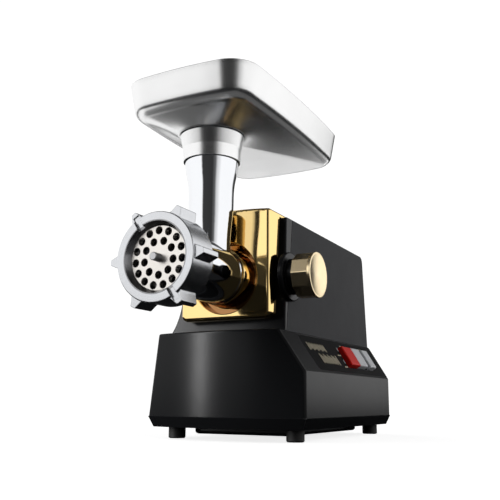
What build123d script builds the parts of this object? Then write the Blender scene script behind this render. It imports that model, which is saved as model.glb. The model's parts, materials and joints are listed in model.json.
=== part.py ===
from build123d import *
import os
from math import acos, atan2, cos, pi, radians, sin, tan

os.makedirs("parts", exist_ok=True)

# Electric meat grinder with a number 8 grinding head. Millimetres.
# +X is the clamp knob side, -Y is the front where the mince comes out, +Z is up.
# The origin is the middle of the four feet on the table; the grinding axis lies in X = 0.

# grinding head
axis_height = 150.5
plate_radius = 31.0
plate_thickness = 5.0
plate_front = -234.3
plate_hole_radius = 3.4
inner_hole_ring = 14.4
inner_hole_count = 9
outer_hole_margin = 0.45
outer_hole_count = 15
knife_thickness = 7.0
knife_margin = 2.0
knife_square = 11.0
auger_pin_radius = 3.5
auger_pin_reach = 8.3
auger_core = 9.0
auger_flight = 21.2
auger_lead = 24.0
auger_clearance = 0.4
bell_wall = 4.0
bell_length = 25.0
barrel_wall = 4.8
shoulder_step = 0.5
shank_radius = 22.5
shank_length = 38.0
tail_journal = 8.0
tail_square = 9.6

# ring nut
nut_wall = 3.0
nut_length = 31.2
nut_mouth_lip = 0.9
nut_seat_lip = 4.0
lug_count = 6
lug_height = 7.8
lug_length = 23.0
lug_turn = 2.0

# feed tube and tray
tube_y = -153.0
tube_root_radius = 18.8
tube_radius = 21.1
throat_radius = 16.0
throat_ledge = 0.8
tube_top = 275.0
tube_flare_radius = 25.4
collar_foot = 257.0
collar_head = 283.6
collar_spread = 1.5
collar_head_radius = 30.4
tray_half_width = 70.6
tray_front = -215.6
tray_back = 24.0
tray_floor = 294.6
tray_rim = 327.6
tray_corner = 29.0
tray_bulge = 4.6
tray_taper = 5.6
tray_sheet = 1.2

# upper shell
shell_top = 209.5
shell_foot_half = 58.2
shell_head_half = 55.2
shell_wall = 3.0
shell_rear_foot = 119.3
shell_rear_head = 116.5
shell_corner = 7.0
left_flare_foot = 67.7
left_flare_height = 32.0
bezel_foot_y = -114.3
bezel_head_y = -104.0
joint_foot_y = -110.9
joint_head_y = -90.4
top_crown = 3.6

# gold front cover
cover_front = -125.9
cover_half = 47.9
cover_bottom = 110.6
cover_top = 217.0
cover_crown = 2.4
cover_sheet = 2.0
cover_edge = 3.2
hood_rear = -80.0
recess_radius = 34.4
recess_floor = -117.5
neck_ring_wall = 3.1
neck_ring_lip = 1.5
socket_wall = 3.1
neck_front = -136.7

# base
base_half = 83.2
base_left_head = 71.9
base_top = 99.5
base_lip = 21.1
base_foot = 11.0
base_undercut = 4.0
chamfer_foot = 62.1
chamfer_head_x = 60.0
base_front = -126.0
base_bow = 13.0
base_rear = 121.0
base_wall = 2.8
base_round = 4.0
foot_x = 63.4
foot_y = 104.0
foot_radius = 8.3
pan_depth = 7.0

# drive
gear_module = 1.25
gear_teeth = 40
pinion_teeth = 10
pressure_angle = 25.0
addendum = 0.8
dedendum = 1.05
tooth_thinning = 0.15
output_gear_width = 12.0
layshaft_gear_width = 10.0
output_shaft_radius = 9.0
coupler_radius = 15.0
layshaft_radius = 6.0
layshaft_journal = 4.5
motor_shaft_radius = 4.0
pinion_seat = 3.0
gearbox_half = 32.0
gearbox_wall = 4.0
gearbox_front = -96.0
gearbox_back = -38.0
gearbox_cover_thickness = 5.0
stator_front = 4.0
stator_back = 44.0
stator_half_width = 38.0
stator_half_height = 42.0
rotor_radius = 21.6
air_gap = 0.7
commutator_radius = 11.5
fan_radius = 34.0
fan_blades = 9

# controls on the sloping panel
rocker_depth = 23.0
rocker_rise = 5.0
power_width = 26.6
power_y = 13.7
reverse_width = 24.6
reverse_y = 40.0
reset_width = 18.7
reset_y = 71.0
panel_sheet = 0.8

# clamp knob
knob_y = -103.9
knob_radius = 21.4
knob_face = 87.8
knob_length = 19.0
knob_flats = 10
knob_dish = 1.6
knob_rim = 3.0
escutcheon_radius = 23.4
escutcheon_thickness = 4.5
hub_radius = 17.0
clamp_rod_radius = 3.9

# clearances and fastener sizes
running = 0.05
slip = 0.3
screw_radius = 2.0
screw_head = 3.6
screw_head_height = 2.4

# derived places
knife_radius = plate_radius - knife_margin
bell_radius = plate_radius + bell_wall
nut_radius = bell_radius + nut_wall
nut_mouth_radius = plate_radius - nut_mouth_lip
nut_seat_radius = plate_radius - nut_seat_lip
lug_reach = nut_radius + lug_height
outer_hole_ring = nut_seat_radius - plate_hole_radius - outer_hole_margin
bore_radius = auger_flight + auger_clearance
neck_radius = bore_radius + barrel_wall
shoulder_radius = neck_radius + shoulder_step
socket_outer = shank_radius + socket_wall
neck_ring_bore = socket_outer + slip
neck_ring_radius = neck_ring_bore + neck_ring_wall
neck_ring_front_radius = neck_ring_bore + neck_ring_lip
collar_foot_radius = tube_flare_radius + collar_spread
knife_front = plate_front + plate_thickness
auger_shoulder = knife_front + knife_thickness
nut_front = plate_front - 6.2
nut_back = nut_front + nut_length
bell_front = plate_front + 1.5
bell_back = bell_front + bell_length
shoulder_back = neck_front - slip
shank_back = shoulder_back + shank_length
barrel_wall_y = shoulder_back - 3.0
throat_foot = axis_height + bore_radius + 1.4
shaft_drop = gear_module * (gear_teeth + pinion_teeth) / 2
layshaft_height = axis_height - shaft_drop
gearbox_top = axis_height + gearbox_half + 2
gearbox_bottom = layshaft_height - gearbox_half + 1
stator_bore = rotor_radius + air_gap
bezel_lean = (bezel_head_y - bezel_foot_y) / (shell_top - base_top)
joint_lean = (joint_head_y - joint_foot_y) / (shell_top - base_top)
head_axis = Axis((0, 0, axis_height), (0, 1, 0))
tube_axis = Axis((0, tube_y, 0), (0, 0, 1))
panel_rise = base_top - chamfer_foot
panel_run = base_half - chamfer_head_x
panel_length = (panel_rise**2 + panel_run**2) ** 0.5
panel_normal = (panel_rise / panel_length, 0, panel_run / panel_length)
panel_plane = Plane(
    origin=((base_half + chamfer_head_x) / 2, 0, (base_top + chamfer_foot) / 2),
    x_dir=(0, 1, 0),
    z_dir=panel_normal,
)


def front_plane(y, x=0, z=axis_height):
    return Plane(origin=(x, y, z), x_dir=(1, 0, 0), z_dir=(0, -1, 0))


def side_plane(x, y=0, z=0):
    return Plane(origin=(x, y, z), x_dir=(0, 1, 0), z_dir=(1, 0, 0))


# a round bar along Y
def bar(radius, y_front, y_back, x=0, z=axis_height, mode=Mode.ADD):
    with BuildSketch(front_plane(y_back, x, z)) as end:
        Circle(radius)
    extrude(end.sketch, amount=y_back - y_front, mode=mode)


# a round bar along X
def cross_bar(radius, x_left, x_right, y, z, mode=Mode.ADD):
    with BuildSketch(side_plane(x_left, y, z)) as end:
        Circle(radius)
    extrude(end.sketch, amount=x_right - x_left, mode=mode)


# an upright round bar
def post(radius, x, y, z_low, z_high, mode=Mode.ADD):
    with BuildSketch(Plane.XY.offset(z_low)) as end:
        with Locations((x, y)):
            Circle(radius)
    extrude(end.sketch, amount=z_high - z_low, mode=mode)


# a box between two ends on each axis
def block(x, y, z, mode=Mode.ADD):
    with BuildSketch(Plane.XY.offset(z[0])) as outline:
        with Locations(((x[0] + x[1]) / 2, (y[0] + y[1]) / 2)):
            Rectangle(x[1] - x[0], y[1] - y[0])
    extrude(outline.sketch, amount=z[1] - z[0], mode=mode)


# a turned solid about the Y axis at height z, from (y, radius) steps
def turned(steps, z=axis_height, mode=Mode.ADD):
    with BuildSketch(side_plane(0, 0, z)) as profile:
        with BuildLine():
            Polyline((steps[0][0], 0), *steps, (steps[-1][0], 0), close=True)
        make_face()
    revolve(profile.sketch, axis=Axis((0, 0, z), (0, 1, 0)), mode=mode)


# a turned solid about the feed tube's axis, from (radius, z) steps
def spun(steps, mode=Mode.ADD):
    with BuildSketch(side_plane(0, tube_y, 0)) as profile:
        with BuildLine():
            Polyline((0, steps[0][1]), *steps, (0, steps[-1][1]), close=True)
        make_face()
    revolve(profile.sketch, axis=tube_axis, mode=mode)


def bezel_y(z):
    return bezel_foot_y + (z - base_top) * bezel_lean


def joint_y(z):
    return joint_foot_y + (z - base_top) * joint_lean


def rear_y(z):
    return shell_rear_foot + (shell_rear_head - shell_rear_foot) * (z - base_top) / (shell_top - base_top)


def shell_half(z):
    return shell_foot_half + (shell_head_half - shell_foot_half) * (z - base_top) / (shell_top - base_top)


def involute(angle):
    return tan(angle) - angle


# the outline of a spur gear, with its first tooth turned by phase degrees
def gear_outline(teeth, phase):
    pitch = gear_module * teeth / 2
    tip = pitch + addendum * gear_module
    root = pitch - dedendum * gear_module
    base_circle = pitch * cos(radians(pressure_angle))
    start = max(root, base_circle)
    half_pitch = pi / (2 * teeth) - tooth_thinning / (2 * pitch) + involute(radians(pressure_angle))

    def half_angle(radius):
        return half_pitch - involute(acos(min(1, base_circle / radius)))

    def point(radius, angle):
        return (radius * cos(angle), radius * sin(angle))

    radii = [start, (2 * start + tip) / 3, (start + 2 * tip) / 3, tip]
    with BuildSketch(Plane.XY) as outline:
        with BuildLine():
            for tooth in range(teeth):
                middle = radians(phase) + 2 * pi * tooth / teeth
                gap_end = middle + 2 * pi / teeth - half_angle(start)
                if start > root:
                    Line(point(root, middle - half_angle(start)), point(start, middle - half_angle(start)))
                    Line(point(start, middle + half_angle(start)), point(root, middle + half_angle(start)))
                Spline([point(radius, middle - half_angle(radius)) for radius in radii])
                Line(point(tip, middle - half_angle(tip)), point(tip, middle + half_angle(tip)))
                Spline([point(radius, middle + half_angle(radius)) for radius in reversed(radii)])
                Line(point(root, middle + half_angle(start)), point(root, gap_end))
        make_face()
    return outline.sketch


# gear teeth along Y between two places
def gear(teeth, phase, y_front, y_back, z):
    outline = front_plane(y_back, 0, z).location * gear_outline(teeth, phase)
    extrude(outline, amount=y_back - y_front, dir=(0, -1, 0))


# base


# the outline of the base seen from above, its front bowed forward, pulled in all round by inset
def base_plan(inset, z):
    front = base_front + inset
    side = base_half - inset
    with BuildSketch(Plane.XY.offset(z)) as plan:
        with BuildLine():
            ThreePointArc((-side, front), (0, front - base_bow), (side, front))
            Polyline((side, front), (side, base_rear - inset), (-side, base_rear - inset), (-side, front))
        make_face()
    return plan.sketch


# the base seen from the front, pulled in by inset
def base_elevation(inset, z_foot, z_head):
    slope_shift = inset * panel_length / panel_rise
    slope = panel_run / panel_rise
    head_right = chamfer_head_x - slope_shift + (base_top - z_head) * slope
    knee = chamfer_foot + (inset - slope_shift) / slope
    draft = (base_half - base_left_head) / (base_top - base_lip)
    foot_left = -(base_half - inset - (z_foot - base_lip) * draft)
    head_left = -(base_half - inset - (z_head - base_lip) * draft)
    with BuildSketch(Plane.XZ) as elevation:
        with BuildLine():
            Polyline(
                (foot_left, z_foot),
                (base_half - inset, z_foot),
                (base_half - inset, knee),
                (head_right, z_head),
                (head_left, z_head),
                close=True,
            )
        make_face()
    return elevation.sketch


deck_bottom = base_top - base_wall
foot_recess = 6.0
pan_half_x = 50.0
pan_half_y = 92.0
inlet_x = 30.0
inlet_height = 42.0
inlet_width = 28.0
inlet_tall = 20.5
lug_x = 41.0
lug_places = [(x, y) for x in (-lug_x, lug_x) for y in (-84, -48)]
bracket_places = [(x, y) for x in (-lug_x, lug_x) for y in (-12, 66)]
window_gap = 0.9
pocket_gap = 0.7
pocket_depth = 9.0
rocker_skirt = 5.0
rocker_pivot_depth = 2.2
rocker_pin_radius = 1.5
switch_depth = 16.0
switch_flange = 3.0
blade_length = 7.0
window_front = power_y - power_width / 2 - window_gap - 1.0
window_back = reset_y + reset_width / 2 + window_gap + 1.0
pin_back = reverse_y + reverse_width / 2 + 4.0
controls = [(power_y, power_width), (reverse_y, reverse_width), (reset_y, reset_width)]
label_round = 6.0
socket_width = 22.0
socket_tall = 15.0
socket_depth = 14.0
socket_pins = [(0, 2.5), (-7, -2.0), (7, -2.0)]
seam = 0.4
bezel_depth = 13.6
bezel_wall = 2.6
cover_corner = 6.0
socket_flange = 5.0
socket_flange_radius = 33.0
socket_bolt_circle = 29.5
boss_radius = 7.5
boss_end = 36.0
journal_end = shank_back - 22.0
tail_end = journal_end + 16.0
auger_back = barrel_wall_y - 12.0
tube_foot = 178.0
lug_root = 15.0
lug_tip = 4.6
lug_setback = 2.0
nut_gap = 0.1
nut_thread_gap = 0.3
collar_mouth = 23.5
bush_outer = 12.0
rear_bush_outer = 8.2
rear_journal = 6.0
layshaft_bush_outer = 7.5
layshaft_bush_front = gearbox_front + 4.0
layshaft_bush_back = gearbox_front + 11.5
output_bush_back = gearbox_front + 13.0
output_gear_back = -70.0
carrier_front = -65.0
layshaft_gear_back = -47.0
coupler_front = journal_end + 1.5
coupler_back = shank_back
cover_screw_places = [(x, z) for x in (-29, 29) for z in (gearbox_bottom + 9, gearbox_top - 9)]
front_bracket = -24.0
rear_bracket = 70.0
bracket_thickness = 6.0
bearing_outer = 9.0
motor_shaft_back = 84.0
fan_front = -14.0
fan_back = -5.0
commutator_front = 52.0
commutator_back = 66.0
brush_front = 56.0
brush_back = 62.0
bolt_radius = 2.0
bolt_places = [(x, z) for x in (-33, 33) for z in (axis_height - 36, axis_height + 36)]
flight_length = auger_back - auger_shoulder - 8.0
label_foot = -18.5
label_head = 20.0
label_rear = 118.0
label_corners = [(-88, label_foot), (label_rear, label_foot), (label_rear, label_head), (-94, label_head)]
deck_opening = ((-gearbox_half - 2, gearbox_half + 2), (gearbox_front - 2, gearbox_back + 8))
screw_post_radius = 7.0
post_top = 40.0

with BuildPart() as base_cavity:
    extrude(base_plan(base_wall, base_lip), amount=deck_bottom - base_lip)
    extrude(base_elevation(base_wall, base_lip, deck_bottom), amount=200, both=True, mode=Mode.INTERSECT)
    loft([base_plan(base_wall, base_lip).face(), base_plan(base_undercut + base_wall, base_foot).face()])

with BuildPart() as base_housing:
    extrude(base_plan(0, base_lip), amount=base_top - base_lip)
    extrude(base_elevation(0, base_lip, base_top), amount=200, both=True, mode=Mode.INTERSECT)
    corner_edges = base_housing.edges().filter_by(
        lambda e: e.length > 30 and abs(e.tangent_at(0.5).Z) > 0.7
    )
    fillet(corner_edges, base_round)
    top_edges = base_housing.faces().sort_by(Axis.Z)[-1].edges()
    fillet(top_edges, base_round / 2)
    loft([base_plan(0, base_lip).face(), base_plan(base_undercut, base_foot).face()])
    add(base_cavity.part, mode=Mode.SUBTRACT)
    # deck opening for the lower half of the gearbox
    block(deck_opening[0], deck_opening[1], (deck_bottom - 1, base_top + 1), mode=Mode.SUBTRACT)
    # posts that the foot screws and the bottom cover screws go into, each on a web from the side wall
    for side in (-1, 1):
        for end in (-1, 1):
            x, y = side * foot_x, end * foot_y
            post(screw_post_radius, x, y, base_foot + base_wall, post_top)
            block(sorted((x, side * (base_half - base_undercut))), (y - 1.5, y + 1.5), (base_foot + base_wall, post_top))
            post(screw_radius, x, y, base_foot, post_top - 6, mode=Mode.SUBTRACT)
    # shallow recess for the control label and a window for the switches
    with BuildSketch(panel_plane.offset(-panel_sheet)) as label_recess:
        with BuildLine():
            Polyline(label_corners, close=True)
        make_face()
        fillet(label_recess.vertices().group_by(Axis.Y)[0].sort_by(Axis.X)[:1], label_round)
        offset(amount=slip / 2)
    extrude(label_recess.sketch, amount=10, dir=panel_normal, mode=Mode.SUBTRACT)
    with BuildSketch(panel_plane.offset(-10)) as switch_window:
        with Locations(((window_front + window_back) / 2, 0)):
            Rectangle(window_back - window_front, rocker_depth + 2 * window_gap)
    extrude(switch_window.sketch, amount=20, dir=panel_normal, mode=Mode.SUBTRACT)
    # opening for the mains inlet in the rear wall
    block(
        (inlet_x - inlet_width / 2, inlet_x + inlet_width / 2),
        (base_rear - 10, base_rear + 10),
        (inlet_height - inlet_tall / 2, inlet_height + inlet_tall / 2),
        mode=Mode.SUBTRACT,
    )
    # vent slots low in the rear wall, beside the inlet
    with BuildSketch(Plane.XZ.offset(-base_rear - 5)) as rear_slots:
        with Locations((-20, 60)):
            with GridLocations(14, 0, 6, 1):
                SlotOverall(34, 5, rotation=90)
    extrude(rear_slots.sketch, amount=15, mode=Mode.SUBTRACT)
    # screw holes in the deck for the gearbox lugs and the motor brackets
    for x, y in lug_places + bracket_places:
        post(screw_radius, x, y, deck_bottom - 1, base_top + 1, mode=Mode.SUBTRACT)
base_housing.part.label = "base_housing"
export_step(base_housing.part, "parts/base_housing.step")

with BuildPart() as bottom_cover:
    extrude(base_plan(base_undercut + base_wall + slip, base_foot), amount=base_wall)
    block((-pan_half_x, pan_half_x), (-pan_half_y, pan_half_y), (base_foot - pan_depth, base_foot))
    fillet(bottom_cover.edges().group_by(Axis.Z)[0], 3)
    block(
        (-pan_half_x + base_wall, pan_half_x - base_wall),
        (-pan_half_y + base_wall, pan_half_y - base_wall),
        (base_foot - pan_depth + base_wall, base_foot + base_wall + 1),
        mode=Mode.SUBTRACT,
    )
    # air slots through the pan's floor
    with BuildSketch(Plane.XY.offset(base_foot - pan_depth)) as pan_slots:
        with GridLocations(0, 12, 1, 9):
            SlotOverall(60, 5)
    extrude(pan_slots.sketch, amount=base_wall + 1, mode=Mode.SUBTRACT)
    for x in (-foot_x, foot_x):
        for y in (-foot_y, foot_y):
            post(screw_radius + 0.2, x, y, base_foot - 1, base_foot + base_wall + 1, mode=Mode.SUBTRACT)
bottom_cover.part.label = "bottom_cover"
export_step(bottom_cover.part, "parts/bottom_cover.step")

with BuildPart() as rubber_feet:
    for x in (-foot_x, foot_x):
        for y in (-foot_y, foot_y):
            post(foot_radius, x, y, 0, base_foot)
    chamfer(rubber_feet.edges().group_by(Axis.Z)[0], 1)
    for x in (-foot_x, foot_x):
        for y in (-foot_y, foot_y):
            post(screw_head + 0.3, x, y, -1, foot_recess, mode=Mode.SUBTRACT)
            post(screw_radius + 0.2, x, y, foot_recess - 1, base_foot + 1, mode=Mode.SUBTRACT)
rubber_feet.part.label = "rubber_feet"
export_step(rubber_feet.part, "parts/rubber_feet.step")

with BuildPart() as foot_screws:
    for x in (-foot_x, foot_x):
        for y in (-foot_y, foot_y):
            post(screw_head, x, y, foot_recess - screw_head_height, foot_recess)
            post(screw_radius, x, y, foot_recess, post_top - 8)
foot_screws.part.label = "foot_screws"
export_step(foot_screws.part, "parts/foot_screws.step")

# sloping control panel

with BuildPart() as control_label:
    with BuildSketch(panel_plane.offset(-panel_sheet)) as label_face:
        with BuildLine():
            Polyline(label_corners, close=True)
        make_face()
        fillet(label_face.vertices().group_by(Axis.Y)[0].sort_by(Axis.X)[:1], label_round)
        with Locations(((window_front + window_back) / 2, 0)):
            Rectangle(window_back - window_front, rocker_depth + 2 * window_gap, mode=Mode.SUBTRACT)
    extrude(label_face.sketch, amount=panel_sheet, dir=panel_normal)
control_label.part.label = "control_label"
export_step(control_label.part, "parts/control_label.step")


# a block on the sloping panel, between depths below and above its face
def panel_block(y, width, along, low, high, mode=Mode.ADD):
    with BuildSketch(panel_plane.offset(low)) as outline:
        with Locations((y, 0)):
            Rectangle(width, along)
    extrude(outline.sketch, amount=high - low, dir=panel_normal, mode=mode)


# a round bar along Y under the sloping panel
def panel_bar(radius, y_front, y_back, depth, mode=Mode.ADD):
    middle = panel_plane.from_local_coords(Vector(0, 0, -depth))
    bar(radius, y_front, y_back, x=middle.X, z=middle.Z, mode=mode)


# the switch body hangs under the panel, with a pocket for each rocker and the button
with BuildPart() as switch_body:
    panel_block(
        (window_front + window_back) / 2,
        window_back - window_front - 2 * slip,
        rocker_depth + 2 * window_gap - 2 * slip,
        -switch_depth,
        -panel_sheet,
    )
    panel_block(
        (window_front + window_back) / 2,
        window_back - window_front + 2 * switch_flange,
        rocker_depth + 2 * window_gap + 2 * switch_flange,
        -base_wall - 2,
        -base_wall,
    )
    for y, width in controls:
        panel_block(y, width + 2 * pocket_gap, rocker_depth + 2 * pocket_gap, -pocket_depth, 1, mode=Mode.SUBTRACT)
    panel_bar(rocker_pin_radius, window_front - 1, pin_back, rocker_pivot_depth, mode=Mode.SUBTRACT)
    # contact blades below
    for y, width in controls:
        for along in (-6, 6):
            with BuildSketch(panel_plane.offset(-switch_depth - blade_length)) as blade:
                with Locations((y, along)):
                    Rectangle(6, 0.8)
            extrude(blade.sketch, amount=blade_length, dir=panel_normal)
switch_body.part.label = "switch_body"
export_step(switch_body.part, "parts/switch_body.step")

with BuildPart() as rocker_pin:
    panel_bar(rocker_pin_radius, window_front + slip, pin_back, rocker_pivot_depth)
rocker_pin.part.label = "rocker_pin"
export_step(rocker_pin.part, "parts/rocker_pin.step")

with BuildPart() as power_rocker:
    panel_block(power_y, power_width, rocker_depth, -rocker_skirt, rocker_rise)
    fillet(power_rocker.faces().sort_by(Axis(panel_plane.origin, panel_plane.z_dir))[-1].edges(), 1.6)
    panel_bar(rocker_pin_radius + running, window_front - 1, pin_back + 1, rocker_pivot_depth, mode=Mode.SUBTRACT)
power_rocker.part.label = "power_rocker"
export_step(power_rocker.part, "parts/power_rocker.step")

with BuildPart() as reverse_rocker:
    panel_block(reverse_y, reverse_width, rocker_depth, -rocker_skirt, rocker_rise)
    fillet(reverse_rocker.faces().sort_by(Axis(panel_plane.origin, panel_plane.z_dir))[-1].edges(), 1.6)
    panel_bar(rocker_pin_radius + running, window_front - 1, pin_back + 1, rocker_pivot_depth, mode=Mode.SUBTRACT)
reverse_rocker.part.label = "reverse_rocker"
export_step(reverse_rocker.part, "parts/reverse_rocker.step")

with BuildPart() as reset_button:
    panel_block(reset_y, reset_width, rocker_depth, -rocker_skirt, rocker_rise)
    fillet(reset_button.faces().sort_by(Axis(panel_plane.origin, panel_plane.z_dir))[-1].edges(), 1.6)
reset_button.part.label = "reset_button"
export_step(reset_button.part, "parts/reset_button.step")

with BuildPart() as power_inlet:
    block(
        (inlet_x - inlet_width / 2 + slip, inlet_x + inlet_width / 2 - slip),
        (base_rear - 24, base_rear),
        (inlet_height - inlet_tall / 2 + slip, inlet_height + inlet_tall / 2 - slip),
    )
    block(
        (inlet_x - inlet_width / 2 - 3, inlet_x + inlet_width / 2 + 3),
        (base_rear, base_rear + 2),
        (inlet_height - inlet_tall / 2 - 3, inlet_height + inlet_tall / 2 + 3),
    )
    with BuildSketch(Plane.XZ.offset(-base_rear - 3)) as socket_mouth:
        with Locations((inlet_x, inlet_height)):
            Rectangle(socket_width, socket_tall)
            chamfer(socket_mouth.vertices().group_by(Axis.Y)[0], 3.5)
    extrude(socket_mouth.sketch, amount=socket_depth + 1, mode=Mode.SUBTRACT)
    for across, up in socket_pins:
        with BuildSketch(Plane.XZ.offset(-base_rear + socket_depth + 3)) as pin:
            with Locations((inlet_x + across, inlet_height + up)):
                Rectangle(2, 4)
        extrude(pin.sketch, amount=-socket_depth + 1)
power_inlet.part.label = "power_inlet"
export_step(power_inlet.part, "parts/power_inlet.step")

with BuildPart() as terminal_block:
    block((-40, 0), (66, 84), (base_foot + base_wall, base_foot + base_wall + 6))
    for way in range(4):
        x = -35 + 10 * way
        block((x - 4, x + 4), (67, 83), (base_foot + base_wall + 6, base_foot + base_wall + 13))
        post(1.5, x, 75, base_foot + base_wall + 8, base_foot + base_wall + 14, mode=Mode.SUBTRACT)
terminal_block.part.label = "terminal_block"
export_step(terminal_block.part, "parts/terminal_block.step")

# upper shell


# the shell seen from the front: a plain tapered side on the right, a flared foot on the left
def shell_elevation(inset):
    foot = shell_foot_half - inset
    head = shell_head_half - inset
    flare_top = base_top + left_flare_height
    with BuildSketch(Plane.XZ) as elevation:
        with BuildLine():
            Polyline(
                (-left_flare_foot + inset, base_top),
                (foot, base_top),
                (head, shell_top),
                (-head, shell_top),
                (-shell_half(flare_top) + inset, flare_top),
            )
            ThreePointArc(
                (-shell_half(flare_top) + inset, flare_top),
                (-shell_half(flare_top) - 3.4 + inset, base_top + left_flare_height * 0.45),
                (-left_flare_foot + inset, base_top),
            )
        make_face()
    return elevation.sketch


# a side panel's outline: slanted front joint, rounded corner at the rear top
def panel_outline(gap):
    with BuildSketch(Plane.YZ) as outline:
        with BuildLine():
            Polyline(
                (joint_y(base_top) + gap, base_top),
                (rear_y(base_top), base_top),
                (rear_y(shell_top), shell_top),
                (joint_y(shell_top) + gap, shell_top),
                close=True,
            )
        make_face()
        fillet(outline.vertices().sort_by(Axis.Y)[-2:].sort_by(Axis.X)[-1:], shell_corner)
    return outline.sketch


def side_panel(side):
    with BuildPart() as panel:
        extrude(panel_outline(seam), amount=100 * side)
        extrude(shell_elevation(0), amount=200, both=True, mode=Mode.INTERSECT)
        extrude(shell_elevation(shell_wall), amount=200, both=True, mode=Mode.SUBTRACT)
        cross_bar(clamp_rod_radius + 0.8, 0, 100, knob_y, axis_height, mode=Mode.SUBTRACT)
        fillet(panel.faces().sort_by(Axis.X)[-1 if side > 0 else 0].edges().filter_by(
            lambda e: abs(e.tangent_at(0.5).Y) < 0.3).group_by(Axis.Y)[0], 0.8)
    return panel.part


with BuildPart() as right_side_panel:
    add(side_panel(1))
right_side_panel.part.label = "right_side_panel"
export_step(right_side_panel.part, "parts/right_side_panel.step")

with BuildPart() as left_side_panel:
    add(side_panel(-1))
left_side_panel.part.label = "left_side_panel"
export_step(left_side_panel.part, "parts/left_side_panel.step")


# a crowned strip seen from the front, highest at X = 0
def crown(half, z_edge, rise, thickness):
    with BuildSketch(Plane.XZ) as strip:
        with BuildLine():
            ThreePointArc((-half, z_edge), (0, z_edge + rise), (half, z_edge))
            Line((half, z_edge), (half, z_edge - thickness))
            ThreePointArc((half, z_edge - thickness), (0, z_edge + rise - thickness), (-half, z_edge - thickness))
            Line((-half, z_edge - thickness), (-half, z_edge))
        make_face()
    return strip.sketch


with BuildPart() as top_cover:
    extrude(crown(shell_head_half - shell_wall - seam, shell_top, top_crown, 3), amount=200, both=True)
    with BuildSketch(Plane.XY) as top_plan:
        with BuildLine():
            Polyline(
                (-100, bezel_head_y + bezel_depth + seam),
                (100, bezel_head_y + bezel_depth + seam),
                (100, rear_y(shell_top) - shell_corner),
                (-100, rear_y(shell_top) - shell_corner),
                close=True,
            )
        make_face()
    extrude(top_plan.sketch, amount=300, mode=Mode.INTERSECT)
top_cover.part.label = "top_cover"
export_step(top_cover.part, "parts/top_cover.step")

# the rear cover stands between the side panels and carries the motor's air vents
with BuildPart() as rear_cover:
    with BuildSketch(Plane.YZ) as rear_side_view:
        with BuildLine():
            Polyline(
                (rear_y(base_top) - shell_wall, base_top),
                (rear_y(base_top), base_top),
                (rear_y(shell_top), shell_top - shell_corner),
                (rear_y(shell_top) - shell_corner, shell_top),
                (rear_y(shell_top) - shell_corner, shell_top - shell_wall),
                (rear_y(shell_top) - shell_wall, shell_top - shell_corner - 1.5),
                close=True,
            )
        make_face()
    extrude(rear_side_view.sketch, amount=100, both=True)
    extrude(shell_elevation(shell_wall + seam), amount=200, both=True, mode=Mode.INTERSECT)
    with BuildSketch(Plane.XZ.offset(-200)) as vent_slots:
        with Locations((0, 155)):
            with GridLocations(40, 8, 2, 9):
                SlotOverall(34, 3.4)
    extrude(vent_slots.sketch, amount=120, mode=Mode.SUBTRACT)
rear_cover.part.label = "rear_cover"
export_step(rear_cover.part, "parts/rear_cover.step")

# the bezel leans back above the base and closes the shell's front
with BuildPart() as front_bezel:
    with BuildSketch(Plane.YZ) as bezel_side_view:
        with BuildLine():
            Polyline(
                (bezel_y(base_top), base_top),
                (bezel_y(shell_top), shell_top),
                (joint_y(shell_top), shell_top),
                (joint_y(base_top), base_top),
                close=True,
            )
        make_face()
    extrude(bezel_side_view.sketch, amount=100, both=True)
    extrude(shell_elevation(0), amount=200, both=True, mode=Mode.INTERSECT)
    front_edges = front_bezel.faces().filter_by(
        lambda f: f.normal_at().Y < -0.9).sort_by(Axis.Y)[0].edges()
    fillet(front_edges.filter_by(lambda e: abs(e.tangent_at(0.5).Z) > 0.7 or e.center().Z > shell_top - 1), 1.5)
    # hollow behind a thin front wall
    with BuildSketch(Plane.YZ) as bezel_hollow:
        with BuildLine():
            Polyline(
                (bezel_y(base_top) + bezel_wall, base_top - 1),
                (bezel_y(shell_top) + bezel_wall, shell_top - shell_wall),
                (joint_y(shell_top) + 30, shell_top - shell_wall),
                (joint_y(base_top) + 30, base_top - 1),
                close=True,
            )
        make_face()
    extrude(bezel_hollow.sketch, amount=shell_head_half - shell_wall, both=True, mode=Mode.SUBTRACT)
    bar(socket_outer + 4, -200, 0, mode=Mode.SUBTRACT)
    block((0, boss_end + 2), (-200, 0), (axis_height - boss_radius - 1.5, axis_height + boss_radius + 1.5),
          mode=Mode.SUBTRACT)
    cross_bar(clamp_rod_radius + 0.7, 0, 100, knob_y, axis_height, mode=Mode.SUBTRACT)
front_bezel.part.label = "front_bezel"
export_step(front_bezel.part, "parts/front_bezel.step")

# gold front cover


# the cover seen from the front: crowned top, rounded corners, pulled in by inset
def cover_elevation(inset, corner):
    half = cover_half - inset
    with BuildSketch(Plane.XZ) as elevation:
        with BuildLine():
            ThreePointArc(
                (-half, cover_top - cover_crown - inset), (0, cover_top - inset), (half, cover_top - cover_crown - inset)
            )
            Polyline(
                (half, cover_top - cover_crown - inset),
                (half, cover_bottom + inset),
                (-half, cover_bottom + inset),
                (-half, cover_top - cover_crown - inset),
            )
        make_face()
        fillet(elevation.vertices().group_by(Axis.Y)[0], corner)
        fillet(elevation.vertices().group_by(Axis.Y)[-1], corner / 2)
    return elevation.sketch


# the cover seen from the side, its rear edge lying along the leaning bezel
def cover_side_view(front, rear_gap):
    low, high = cover_bottom - 10, cover_top + 10
    with BuildSketch(Plane.YZ) as view:
        with BuildLine():
            Polyline(
                (front, low), (front, high), (bezel_y(high) - rear_gap, high), (bezel_y(low) - rear_gap, low), close=True
            )
        make_face()
    return view.sketch


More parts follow.
